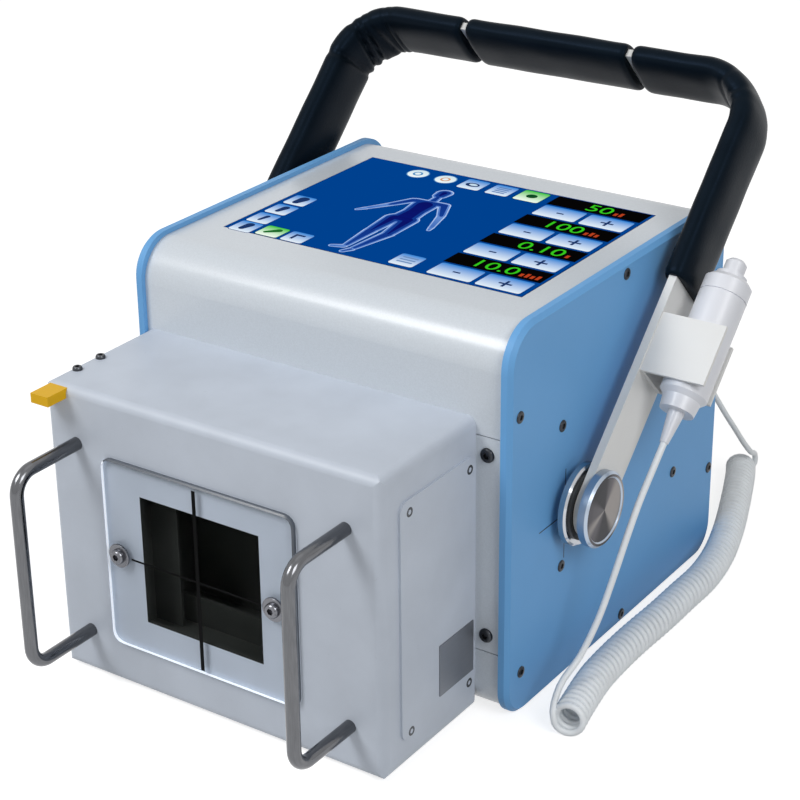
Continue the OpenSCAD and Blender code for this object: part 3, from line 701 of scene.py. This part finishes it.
def coil_turns(cord):
    """Centreline of the coiled stretch: it starts on the left, going down, and ends on the
    right, going up."""
    middle = smooth_route([beside_arm(x, y, COIL_Z) for x, y in COIL], 12)
    far = distances(middle)
    radius = (cord.coil_outside - cord.diameter) / 2
    turns = round(far[-1] / cord.pitch) + 0.5
    number = round(turns * cord.turn)
    line = []
    here = 0
    for k in range(number + 1):
        goal = far[-1] * k / number
        while here < len(far) - 2 and far[here + 1] < goal:
            here += 1
        part = (goal - far[here]) / (far[here + 1] - far[here])
        point = middle[here].lerp(middle[here + 1], part)
        ahead = (middle[here + 1] - middle[here]).normalized()
        right = ahead.cross(Vector((0, 0, 1)))
        a = math.pi + 2 * math.pi * turns * k / number
        line.append(point + radius * (math.cos(a) * right + math.sin(a) * Vector((0, 0, 1))))
    return line


def cord_line(cord):
    """Centreline of the whole cord, from inside the switch's relief to inside the gland."""
    coil = coil_turns(cord)
    third = cord.turn // 3
    inside_relief = at(0, 1.4, 1.4)
    start = at(*RELIEF_END)
    lead = smooth_route([start, *[beside_arm(*p) for p in LEAD], coil[0], coil[third]], 4)[:-5]
    tail = smooth_route([coil[-1 - third], coil[-1], *[beside_arm(*p) for p in TAIL]], 4)[5:]
    return [start + inside_relief, *lead, *coil, *tail]


# The padded sleeves

def leaning(x, y, s):
    """A point of the handle as drawn upright: across, behind and along its arm."""
    return at(PIVOT[0] + x,
              PIVOT[1] + y * math.cos(HANDLE_LEAN) + s * math.sin(HANDLE_LEAN),
              PIVOT[2] - y * math.sin(HANDLE_LEAN) + s * math.cos(HANDLE_LEAN))


def stations(whole, step, hem):
    """Distances of the rings along a sleeve, closer together over the rounded ends."""
    close = [0, 0.02, 0.08, 0.18, 0.32, 0.5, 0.74]
    ends = [hem * c for c in close]
    number = round((whole - 2 * hem) / step)
    middle = [hem + (whole - 2 * hem) * k / number for k in range(number + 1)]
    return [*ends, *middle, *[whole - d for d in reversed(ends)]]


def side_line(side):
    """Whole length of a side sleeve, and its middle line and outward direction, upright."""
    corner_x = ARM_X - BOW_BEND
    corner_s = BOW_TOP - BOW_BEND
    first = corner_s - SLEEVE_START
    bend = BOW_BEND * math.pi / 2
    whole = first + bend + corner_x - SLEEVE_GAP_X - SLEEVE_GAP / 2

    def line(d):
        if d < first:
            return (side * ARM_X, SLEEVE_START + d), (side, 0)
        if d < first + bend:
            a = (d - first) / BOW_BEND
            out = (side * math.cos(a), math.sin(a))
            return (side * corner_x + BOW_BEND * out[0], corner_s + BOW_BEND * out[1]), out
        return (side * (corner_x - (d - first - bend)), BOW_TOP), (0, 1)

    return whole, first + bend / 2, line


def middle_line():
    half = SLEEVE_GAP_X - SLEEVE_GAP / 2

    def line(d):
        return (half - d, BOW_TOP), (0, 1)

    return 2 * half, half, line


def rounded(a, half_thick, half_wide, power):
    """A point of a rounded flat section: outward and behind."""
    c = math.cos(a)
    s = math.sin(a)
    return (half_thick * math.copysign(abs(c) ** (2 / power), c),
            half_wide * math.copysign(abs(s) ** (2 / power), s))


def sleeve_mesh(name, way, creases, swell, seed):
    """A padded sleeve round the bar. Each crease is its distance from the corner's middle,
    its depth, its width and how far it slants across the sleeve, in millimetres."""
    size = bpy.context.scene.xray_sleeve
    whole, corner, line = way
    hem = size.hem / MM
    half_thick = size.thick / MM / 2
    half_wide = size.wide / MM / 2
    bore = (BAR_T / 2 + SLEEVE_CLEAR, BAR_W / 2 + SLEEVE_CLEAR)
    offset = Vector((seed * 7.1, seed * 3.3, 0))
    bm = bmesh.new()
    outer = []
    inner = []
    for d in stations(whole, size.step / MM, hem):
        (x, s), out = line(d)
        from_end = min(d, whole - d)
        tuck = HEM_TUCK * (1 - math.sqrt(1 - (1 - min(1, from_end / hem)) ** 2))
        near = math.exp(-((d - corner) / 24) ** 2)
        ring = []
        hole = []
        for k in range(size.ring):
            a = 2 * math.pi * k / size.ring
            n, b = rounded(a, half_thick, half_wide, SLEEVE_POWER)
            inside = (1 - math.cos(a)) / 2
            fold = sum(depth * math.exp(-((d - corner - where - slant * b / half_wide) / width) ** 2)
                       for where, depth, width, slant in creases)
            lump = noise.noise(offset + Vector((d / 24, math.cos(a) * 0.9, math.sin(a) * 1.4)))
            grow = (swell * near * (0.35 + 0.65 * math.cos(a)) + LUMP * lump
                    - fold * (0.12 + 0.88 * inside) * size.crease / MM)
            grow = grow * min(1, from_end / hem) - tuck
            toward = Vector((math.cos(a) * half_wide, math.sin(a) * half_thick)).normalized()
            n += toward.x * grow
            b += toward.y * grow
            ring.append(bm.verts.new(leaning(x + out[0] * n, b, s + out[1] * n)))
            n, b = rounded(a, *bore, BORE_POWER)
            hole.append(bm.verts.new(leaning(x + out[0] * n, b, s + out[1] * n)))
        outer.append(ring)
        inner.append(hole)
    skin(bm, [*outer, *reversed(inner), outer[0]])
    return finished(bm, name, 50)


# The lit picture

def rectangle(x0, y0, x1, y1, corner=0.0):
    """Outline of a rectangle with rounded corners."""
    if not corner:
        return [(x0, y0), (x1, y0), (x1, y1), (x0, y1)]
    points = []
    middles = ((x1 - corner, y1 - corner), (x0 + corner, y1 - corner),
               (x0 + corner, y0 + corner), (x1 - corner, y0 + corner))
    for quarter, (x, y) in enumerate(middles):
        for k in range(5):
            a = math.pi / 2 * (quarter + k / 4)
            points.append((x + corner * math.cos(a), y + corner * math.sin(a)))
    return points


def oval(x, y, half_x, half_y, sides=28):
    return [(x + half_x * math.cos(2 * math.pi * k / sides),
             y + half_y * math.sin(2 * math.pi * k / sides)) for k in range(sides)]


def limb(x0, y0, r0, x1, y1, r1):
    """Outline of a tapered bar with round ends."""
    along = math.atan2(y1 - y0, x1 - x0)
    points = []
    for x, y, r, start in ((x1, y1, r1, along - math.pi / 2), (x0, y0, r0, along + math.pi / 2)):
        for k in range(9):
            a = start + math.pi * k / 8
            points.append((x + r * math.cos(a), y + r * math.sin(a)))
    return points


class Picture:
    """The lit picture as thin coloured plates on the cover glass, each level above the last."""

    def __init__(self):
        self.bm = bmesh.new()
        self.layer = self.bm.loops.layers.float_color.new(PICTURE_COLOUR)

    def plate(self, outline, level, front, back=None):
        """A plate whose colour runs from its front to its back."""
        front = linear(front)
        back = linear(back) if back else front
        ys = [y for x, y in outline]
        deep = max(ys) - min(ys)
        heights = (SCREEN_TOP - PLATE, SCREEN_TOP + PLATE * (level + 1))
        low, high = ([self.bm.verts.new(at(x, y, z)) for x, y in outline] for z in heights)
        faces = [self.bm.faces.new(list(reversed(low))), self.bm.faces.new(high)]
        for k in range(len(low)):
            after = (k + 1) % len(low)
            faces.append(self.bm.faces.new((low[k], low[after], high[after], high[k])))
        for face in faces:
            for loop in face.loops:
                part = (loop.vert.co.y / MM - min(ys)) / deep
                loop[self.layer] = (*[f + (b - f) * part for f, b in zip(front, back)], 1)

    def digits(self, words, x1, y0, y1, level, colour_value):
        """Digits that end at x1."""
        curve = bpy.data.curves.new("digits", "FONT")
        curve.body = words
        curve.extrude = PLATE
        shape = bpy.data.objects.new("digits", curve)
        mesh = bpy.data.meshes.new_from_object(shape)
        xs = [v.co.x for v in mesh.vertices]
        ys = [v.co.y for v in mesh.vertices]
        tall = (y1 - y0) / (max(ys) - min(ys))
        new = bmesh.new()
        new.from_mesh(mesh)
        new.verts.ensure_lookup_table()
        heights = (SCREEN_TOP - PLATE, SCREEN_TOP + PLATE * (level + 1))
        places = {v.index: self.bm.verts.new(at(x1 - (max(xs) - v.co.x) * tall * DIGIT_WIDTH,
                                                y0 + (v.co.y - min(ys)) * tall,
                                                heights[v.co.z > 0]))
                  for v in new.verts}
        paint = (*linear(colour_value), 1)
        for old in new.faces:
            face = self.bm.faces.new([places[v.index] for v in old.verts])
            for loop in face.loops:
                loop[self.layer] = paint
        new.free()
        bpy.data.objects.remove(shape)
        bpy.data.curves.remove(curve)
        bpy.data.meshes.remove(mesh)

    def mesh(self, name):
        mesh = bpy.data.meshes.new(name)
        self.bm.to_mesh(mesh)
        self.bm.free()
        return mesh


def draw_values(picture):
    """Four rows: a value on black with its mark, and a minus and a plus key under it."""
    rows = (("50", 80.7, 2), ("100", 82, 3), ("0.10", 92, 1), ("10.0", 84.5, 4))
    for k, (words, end, marks) in enumerate(rows):
        top = 82.8 - ROW_PITCH * k
        picture.plate(rectangle(38.3, top - 16.6, 103.6, top), 1, BLACK)
        picture.digits(words, end, top - 13.8, top - 2.6, 2, GREEN)
        for mark in range(marks):
            x = end + 2.6 + 3.6 * mark
            tall = 4.2 + 1.6 * (mark % 2)
            picture.plate(rectangle(x, top - 13.4, x + 2.2, top - 13.4 + tall), 2, ORANGE)
        low = top - 37.6
        for x0, x1 in ((39, 69.6), (71.8, 102.6)):
            picture.plate(rectangle(x0, low, x1, low + 19.6, 2), 1, "#12387A")
            picture.plate(rectangle(x0 + 0.5, low + 0.5, x1 - 0.5, low + 19.1, 1.7), 2,
                          KEY_FRONT, KEY_BACK)
        y = low + 9.6
        picture.plate(rectangle(52.4, y - 0.8, 57.4, y + 0.8), 3, NAVY)
        picture.plate(rectangle(83.4, y - 0.9, 92, y + 0.9), 3, NAVY)
        picture.plate(rectangle(86.8, y - 4.6, 88.6, y + 4.6), 3, NAVY)


def draw_keys(picture):
    """The small square and round keys round the picture, each with a plain mark."""
    for x, mark in ((-61, "#4A8EC0"), (-39.8, "#D39A72")):
        picture.plate(oval(x, 71.5, 7.6, 7.8), 1, "#5E9AC8")
        picture.plate(oval(x, 71.5, 6.9, 7.1), 2, "#F4F8F8", "#CFE4EC")
        picture.plate(oval(x, 71.3, 3.4, 3.6), 3, mark)
        picture.plate(oval(x, 71.3, 2, 2.2), 4, "#E4F0F4")
    plain = [(-27.5, 63, -10.6, 81.4), (-6.3, 63, 10.6, 81.4), (11.5, -71, 29, -52.8),
             (-64.8, -74, -48.4, -57.4)]
    plain += [(-102.4, y - 17.4, -86, y) for y in (-3.4, -22.6, -41, -58.6)]
    green = [(14.4, 63, 33.2, 82.2), (-83.6, -74, -66.8, -57.4)]
    for x0, y0, x1, y1 in plain:
        picture.plate(rectangle(x0, y0, x1, y1, 2), 1, "#12387A")
        picture.plate(rectangle(x0 + 0.4, y0 + 0.4, x1 - 0.4, y1 - 0.4, 1.8), 2, KEY_FRONT,
                      KEY_BACK)
    for x0, y0, x1, y1 in green:
        picture.plate(rectangle(x0, y0, x1, y1, 2), 1, "#0F5A1C")
        picture.plate(rectangle(x0 + 0.4, y0 + 0.4, x1 - 0.4, y1 - 0.4, 1.8), 2, "#F2FBF0",
                      "#35C234")
    picture.plate(oval(-19.3, 71.6, 5, 3.4), 3, NAVY)
    picture.plate(oval(-18.8, 71.8, 3, 1.7), 4, "#C9E0F0")
    for k in range(4):
        picture.plate(rectangle(-2.4, 67 + 3 * k, 6.6, 68.4 + 3 * k), 3, "#5B7FB4")
    picture.plate(oval(23.8, 73, 3.8, 3.4), 3, "#0C4A22")
    for k in range(3):
        picture.plate(rectangle(15, -66 + 3.6 * k, 25.6, -64.4 + 3.6 * k), 3, "#6F90BC")
    for y, wide in ((-12, 3.6), (-31, 2.6), (-49.6, 1.7), (-67.2, 3)):
        picture.plate(limb(-95, y - 3.4, wide * 0.7, -93.6, y + 3.4, wide), 3, NAVY)
    picture.plate(limb(-78.6, -68.4, 1.4, -72.6, -62.6, 2.4), 3, "#1B6A2A")
    picture.plate(rectangle(-60, -69.4, -58, -61.4), 3, NAVY)
    picture.plate(rectangle(-58, -63.4, -53, -61.4), 3, NAVY)


def draw_figure(picture):
    """A plain standing figure: its limbs in three sizes, so that only its outline is light."""
    for level, (inset, front, back) in enumerate(((0, "#8FB0E4", "#BCD0F4"),
                                                  (0.8, "#3C68B8", "#6A92D4"),
                                                  (1.9, "#123E94", "#103488"),
                                                  (4.3, "#0A1670", "#0A1264"))):
        for x0, y0, r0, x1, y1, r1 in FIGURE:
            if min(r0, r1) - inset > 0.25:
                picture.plate(limb(x0, y0, r0 - inset, x1, y1, r1 - inset), level + 1, front, back)


# Operators

class XRAY_OT_stage(bpy.types.Operator):
    """Sets the camera, the floor and the soft studio light"""
    bl_idname = "xray.stage"
    bl_label = "Stage"

    def execute(self, context):
        scene = context.scene
        view = scene.xray_camera
        camera = bpy.data.objects.new("camera", bpy.data.cameras.new("camera"))
        scene.collection.objects.link(camera)
        scene.camera = camera
        camera.data.lens = view.lens
        camera.data.sensor_width = 36
        level = math.cos(view.elevation)
        back = Vector((math.sin(view.azimuth) * level, -math.cos(view.azimuth) * level,
                       math.sin(view.elevation)))
        right = Vector((math.cos(view.azimuth), math.sin(view.azimuth), 0))
        up = back.cross(right)
        turn = Matrix((right, up, back)).transposed() @ Matrix.Rotation(view.roll, 3, "Z")
        camera.matrix_world = Matrix.Translation(view.place) @ turn.to_4x4()
        camera.data.clip_start = 0.01
        camera.data.clip_end = 50

        bm = bmesh.new()
        half = 12
        corners = [bm.verts.new((x, y, 0)) for x, y in
                   ((-half, -half), (half, -half), (half, half), (-half, half))]
        bm.faces.new(corners)
        floor = bpy.data.objects.new("floor", finished(bm, "floor"))
        scene.collection.objects.link(floor)
        m, t, s = surface("White paper floor", linear("#BEBEBE"), 0.9)
        rays = add(t, "ShaderNodeLightPath")
        seen = add(t, "ShaderNodeMath", {0: rays.outputs["Is Camera Ray"],
                                         1: rays.outputs["Is Glossy Ray"]}, operation="MAXIMUM")
        lift = add(t, "ShaderNodeMath", {0: seen.outputs[0], 1: FLOOR_LIFT},
                   operation="MULTIPLY")
        s.inputs["Emission Color"].default_value = (1, 1, 1, 1)
        t.links.new(lift.outputs[0], s.inputs["Emission Strength"])
        use(floor, m)

        world = bpy.data.worlds.new("Studio")
        scene.world = world
        world.use_nodes = True
        tree = world.node_tree
        tree.nodes.clear()
        rays = add(tree, "ShaderNodeLightPath")
        white = add(tree, "ShaderNodeMath", {0: rays.outputs["Is Camera Ray"],
                                             1: rays.outputs["Is Glossy Ray"]},
                    operation="MAXIMUM")
        clear = add(tree, "ShaderNodeMath", {0: white.outputs[0],
                                             1: rays.outputs["Is Transmission Ray"]},
                    operation="MAXIMUM")
        strength = add(tree, "ShaderNodeMapRange", {"Value": clear.outputs[0],
                                                    "To Min": ROOM_LIGHT, "To Max": 1.0})
        sky = add(tree, "ShaderNodeBackground", {"Color": (1, 1, 1, 1),
                                                 "Strength": strength.outputs["Result"]})
        out = add(tree, "ShaderNodeOutputWorld")
        tree.links.new(sky.outputs[0], out.inputs["Surface"])

        for name, place, size, power in LAMPS:
            light = bpy.data.lights.new(name, "AREA")
            light.energy = power
            light.size = size
            lamp = bpy.data.objects.new(name, light)
            scene.collection.objects.link(lamp)
            lamp.location = place
            lamp.rotation_mode = "QUATERNION"
            lamp.rotation_quaternion = (Vector(place) - at(0, 0, 120)).to_track_quat("Z", "Y")
        scene.view_settings.view_transform = "Standard"
        return {"FINISHED"}


class XRAY_OT_cord(bpy.types.Operator):
    """Runs the cord from the hand switch through its coil to the gland at the back"""
    bl_idname = "xray.cord"
    bl_label = "Coiled cord"

    def execute(self, context):
        cord = context.scene.xray_cord
        path = cord_line(cord)
        obj = piece("coiled_cord", tube_mesh("coiled_cord", path, cord.diameter / 2, cord.ring),
                    None, "white_cord", extruded_pvc(),
                    stands_for=("cord_lead", "cord_coil", "cord_tail"))
        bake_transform(obj)
        return {"FINISHED"}


class XRAY_OT_casing(bpy.types.Operator):
    """Paints the casing and the side panels, and sets their screws"""
    bl_idname = "xray.casing"
    bl_label = "Casing"

    def execute(self, context):
        pearl = sprayed_pearl_paint()
        for name in ("hood", "front_plate", "back_plate", "base_tray"):
            use(NODES[name], pearl)
        blue = satin_blue_enamel()
        for name in ("side_panel_right", "side_panel_left"):
            use(NODES[name], blue)
        black = moulded("Black moulded plastic", linear("#1B1D20"), 0.45)
        for name in ("display_unit", "pivot_spacer_right", "pivot_spacer_left", "cord_gland",
                     "mains_inlet", "rocker_switch"):
            use(NODES[name], black)
        use(NODES["tube_housing"], bare_metal("Cast aluminium", "#8D9094", 0.5))

        dark = bare_metal("Blackened steel", "#3C3E42", 0.3)
        heads = [((x, CASING_FRONT, z), (0, -1, 0), 4.4, 1.8, 1.9)
                 for x in (-116, 116) for z in (53, 168)]
        heads += [((x, -CASING_FRONT, z), (0, 1, 0), 4.4, 1.8, 1.9)
                  for x in (-116, 116) for z in (53, 168, 205)]
        for side in (-1, 1):
            heads += [((side * PANEL_FACE, y, z), (side, 0, 0), 3.6, 0.9, 1.7)
                      for y, z in PANEL_SCREWS]
        screws("casing_screws", heads, "black_metal", dark)

        bm = bmesh.new()
        y, z = FOCUS
        for side in (-1, 1):
            low = side * PANEL_FACE - LINE_DEPTH
            high = side * PANEL_FACE + LINE_DEPTH
            block(bm, (low, y - FOCUS_ARM, z - 0.35), (high, y + FOCUS_ARM, z + 0.35))
            block(bm, (low, y - 0.35, z - FOCUS_ARM), (high, y + 0.35, z + FOCUS_ARM))
        piece("focus_marks", finished(bm, "focus_marks"), ROOT, "dark_plastic",
              moulded("Printed marking ink", linear("#101C34"), 0.5))

        bm = bmesh.new()
        for x, z in ((INLET_X, INLET_Z - 3), (INLET_X - 7, INLET_Z + 3), (INLET_X + 7, INLET_Z + 3)):
            block(bm, (x - 0.9, -CASING_FRONT - 14.5, z - 2.4), (x + 0.9, -CASING_FRONT - 1.5, z + 2.4))
        piece("inlet_contacts", finished(bm, "inlet_contacts"), ROOT, "polished_steel",
              bare_metal("Nickelled brass", "#C9C3B0", 0.25))
        return {"FINISHED"}


class XRAY_OT_screen(bpy.types.Operator):
    """Lights the screen: four values with their keys, small keys and a standing figure"""
    bl_idname = "xray.screen"
    bl_label = "Screen"

    def execute(self, context):
        use(NODES["screen_glass"], cover_glass())
        picture = Picture()
        x0, y0, x1, y1 = SCREEN
        picture.plate(rectangle(x0 + 0.2, y0 + 0.2, x1 - 0.2, y1 - 0.2), 0,
                      srgb(settings().screen_blue))
        draw_values(picture)
        draw_keys(picture)
        draw_figure(picture)
        piece("screen_picture", picture.mesh("screen_picture"), ROOT, "screen", lit_display())
        return {"FINISHED"}


class XRAY_OT_limiter(bpy.types.Operator):
    """Finishes the beam limiter, its window and guards, and adds its screws and crosshair"""
    bl_idname = "xray.limiter"
    bl_label = "Beam limiter"

    def execute(self, context):
        coat = textured_powder_coat()
        for name in ("limiter_box", "limiter_cover"):
            use(NODES[name], coat)
        black = matt_black_paint()
        for name in ("light_tunnel", "shutter_leaves"):
            use(NODES[name], black)
        # Painted shade: a thin sheet of matt black paint lines the walls of the limiter's opening,
        # where they lie in shadow
        x0, z0, x1, z1 = APERTURE
        bm = bmesh.new()
        rings = [[bm.verts.new(at(x, y, z)) for x, z in rectangle(x0 + d, z0 + d, x1 - d, z1 - d)]
                 for d, y in ((-LINE_DEPTH, LIMITER_FACE), (-LINE_DEPTH, LIMITER_INSIDE),
                              (LINE_DEPTH, LIMITER_INSIDE), (LINE_DEPTH, LIMITER_FACE))]
        skin(bm, [*rings, rings[0]])
        piece("painted_shade_opening_edge", finished(bm, "painted_shade_opening_edge"), ROOT, "black_metal", black)
        x0, z0, x1, z1 = WINDOW
        outline = rectangle(x0, z0, x1, z1, WINDOW_CORNER)
        inner = rectangle(x0 + WINDOW_BEVEL, z0 + WINDOW_BEVEL, x1 - WINDOW_BEVEL,
                          z1 - WINDOW_BEVEL, WINDOW_CORNER - WINDOW_BEVEL)
        bm = bmesh.new()
        rings = [[bm.verts.new(at(x, y, z)) for x, z in line] for line, y in (
            (outline, WINDOW_BACK), (outline, WINDOW_FACE + WINDOW_BEVEL), (inner, WINDOW_FACE))]
        skin(bm, rings)
        bm.faces.new(rings[0])
        bm.faces.new(rings[-1])
        pane = piece("clear_window", finished(bm, "clear_window"), ROOT, "clear_plastic",
                     clear_acrylic(), cut_acrylic("Painted shade acrylic edge", "#50565F", 0),
                     cut_acrylic("Painted highlight acrylic edge", "#E6EBF2", 0.4),
                     stands_for=("window_plate",))
        # Painted light: edges that face right and up take the painted-shade copy, and those that face
        # left and down the glowing painted-highlight copy
        for face in pane.data.polygons:
            if abs(face.normal.y) < 0.9:
                face.material_index = 1 if face.normal.x + face.normal.z > 0 else 2
        rod = drawn_stainless()
        for name in ("guard_left", "guard_right"):
            use(NODES[name], rod)
        use(NODES["tape_tab"], moulded("Yellow moulded plastic", settings().tab, 0.35, 0.15))
        use(NODES["label_plate"], brushed_plate())

        dark = bare_metal("Blackened limiter steel", "#4A4C50", 0.3)
        heads = [((LIMITER_SIDE, y, z), (1, 0, 0), 3.4, 1.7, 1.6)
                 for y in (-194, -134.5) for z in (23.6, 161)]
        heads += [((-LIMITER_SIDE - 17, y, z), (-1, 0, 0), 3.4, 1.7, 1.6)
                  for y in (-194, -134.5) for z in (23.6, 161)]
        heads += [((-119, y, LIMITER_TOP), (0, 0, 1), 3, 2.1, 1.4) for y in (-197, -177)]
        screws("limiter_screws", heads, "black_metal", dark)

        bright = bare_metal("Bright window steel", "#74757A", 0.22)
        bm = bmesh.new()
        for x in WINDOW_SCREWS:
            place = (x, WINDOW_FACE, BEAM_Z)
            turned(bm, place, Vector((0, -1, 0)), [(7.4, -0.2), (7.4, 0.9), (7, 1.2), (3.4, 1.2)], 32)
            socket_screw(bm, (x, WINDOW_FACE - 1.2, BEAM_Z), Vector((0, -1, 0)), 4.6, 2.6, 2)
        piece("window_screws", finished(bm, "window_screws"), ROOT, "polished_steel", bright)

        bm = bmesh.new()
        near = WINDOW_FACE - LINE_DEPTH
        far = WINDOW_FACE + LINE_DEPTH
        block(bm, (CROSS_X - 1.3, near, 34), (CROSS_X + 1.3, far, 150))
        block(bm, (-65, near - 0.05, BEAM_Z - 0.6), (29, far, BEAM_Z + 0.6))
        piece("crosshair", finished(bm, "crosshair"), ROOT, "dark_plastic",
              moulded("Black vinyl tape", linear("#040405"), 0.6, 0.05))
        return {"FINISHED"}


class XRAY_OT_handle(bpy.types.Operator):
    """Finishes the handle bar and its pivots, and pulls the padded sleeves over it"""
    bl_idname = "xray.handle"
    bl_label = "Handle"

    def execute(self, context):
        paint = satin_white_paint()
        use(NODES["handle_bar"], paint)
        use(NODES["switch_clip"], paint)
        reflection_bands = turned_stainless()
        polished = polished_stainless()
        for side in ("right", "left"):
            use(NODES["pivot_knob_" + side], reflection_bands)
            use(NODES["pivot_washer_" + side], polished)
        leather = grained_leatherette()
        ways = {"left": side_line(-1), "middle": middle_line(), "right": side_line(1)}
        for seed, (name, way) in enumerate(ways.items()):
            creases, swell = SLEEVE_CREASES[name]
            title = "sleeve_" + name
            obj = piece(title, sleeve_mesh(title, way, creases, swell, seed), HANDLE,
                        "black_leather", leather, stands_for=("grip_" + name,))
        return {"FINISHED"}


class XRAY_OT_switch(bpy.types.Operator):
    """Finishes the hand switch"""
    bl_idname = "xray.hand_switch"
    bl_label = "Hand switch"

    def execute(self, context):
        white = moulded("White moulded plastic", settings().plastic, 0.3)
        for name in ("switch_body", "switch_cap", "switch_button", "switch_relief"):
            use(NODES[name], white)
        return {"FINISHED"}


class XRAY_PT_panel(bpy.types.Panel):
    """Lists the steps that dress the machine"""
    bl_label = "X-ray Machine"
    bl_idname = "XRAY_PT_panel"
    bl_space_type = "VIEW_3D"
    bl_region_type = "UI"
    bl_category = "X-ray Machine"

    def draw(self, context):
        for step in STEPS:
            self.layout.operator(step.bl_idname)


STEPS = (XRAY_OT_stage, XRAY_OT_cord, XRAY_OT_casing, XRAY_OT_screen, XRAY_OT_limiter,
         XRAY_OT_handle, XRAY_OT_switch)
GROUPS = {"xray_colours": XrayColours, "xray_camera": XrayCamera, "xray_cord": XrayCord,
          "xray_sleeve": XraySleeve}


def register():
    for kind in (*GROUPS.values(), *STEPS, XRAY_PT_panel):
        bpy.utils.register_class(kind)
    for name, kind in GROUPS.items():
        setattr(bpy.types.Scene, name, bpy.props.PointerProperty(type=kind))


def unregister():
    for name in GROUPS:
        delattr(bpy.types.Scene, name)
    for kind in reversed((*GROUPS.values(), *STEPS, XRAY_PT_panel)):
        bpy.utils.unregister_class(kind)


def main():
    register()
    for node in NODES.values():
        shade(node.data)
    for step in STEPS:
        group, name = step.bl_idname.split(".")
        getattr(getattr(bpy.ops, group), name)()


if __name__ == "__main__":
    main()
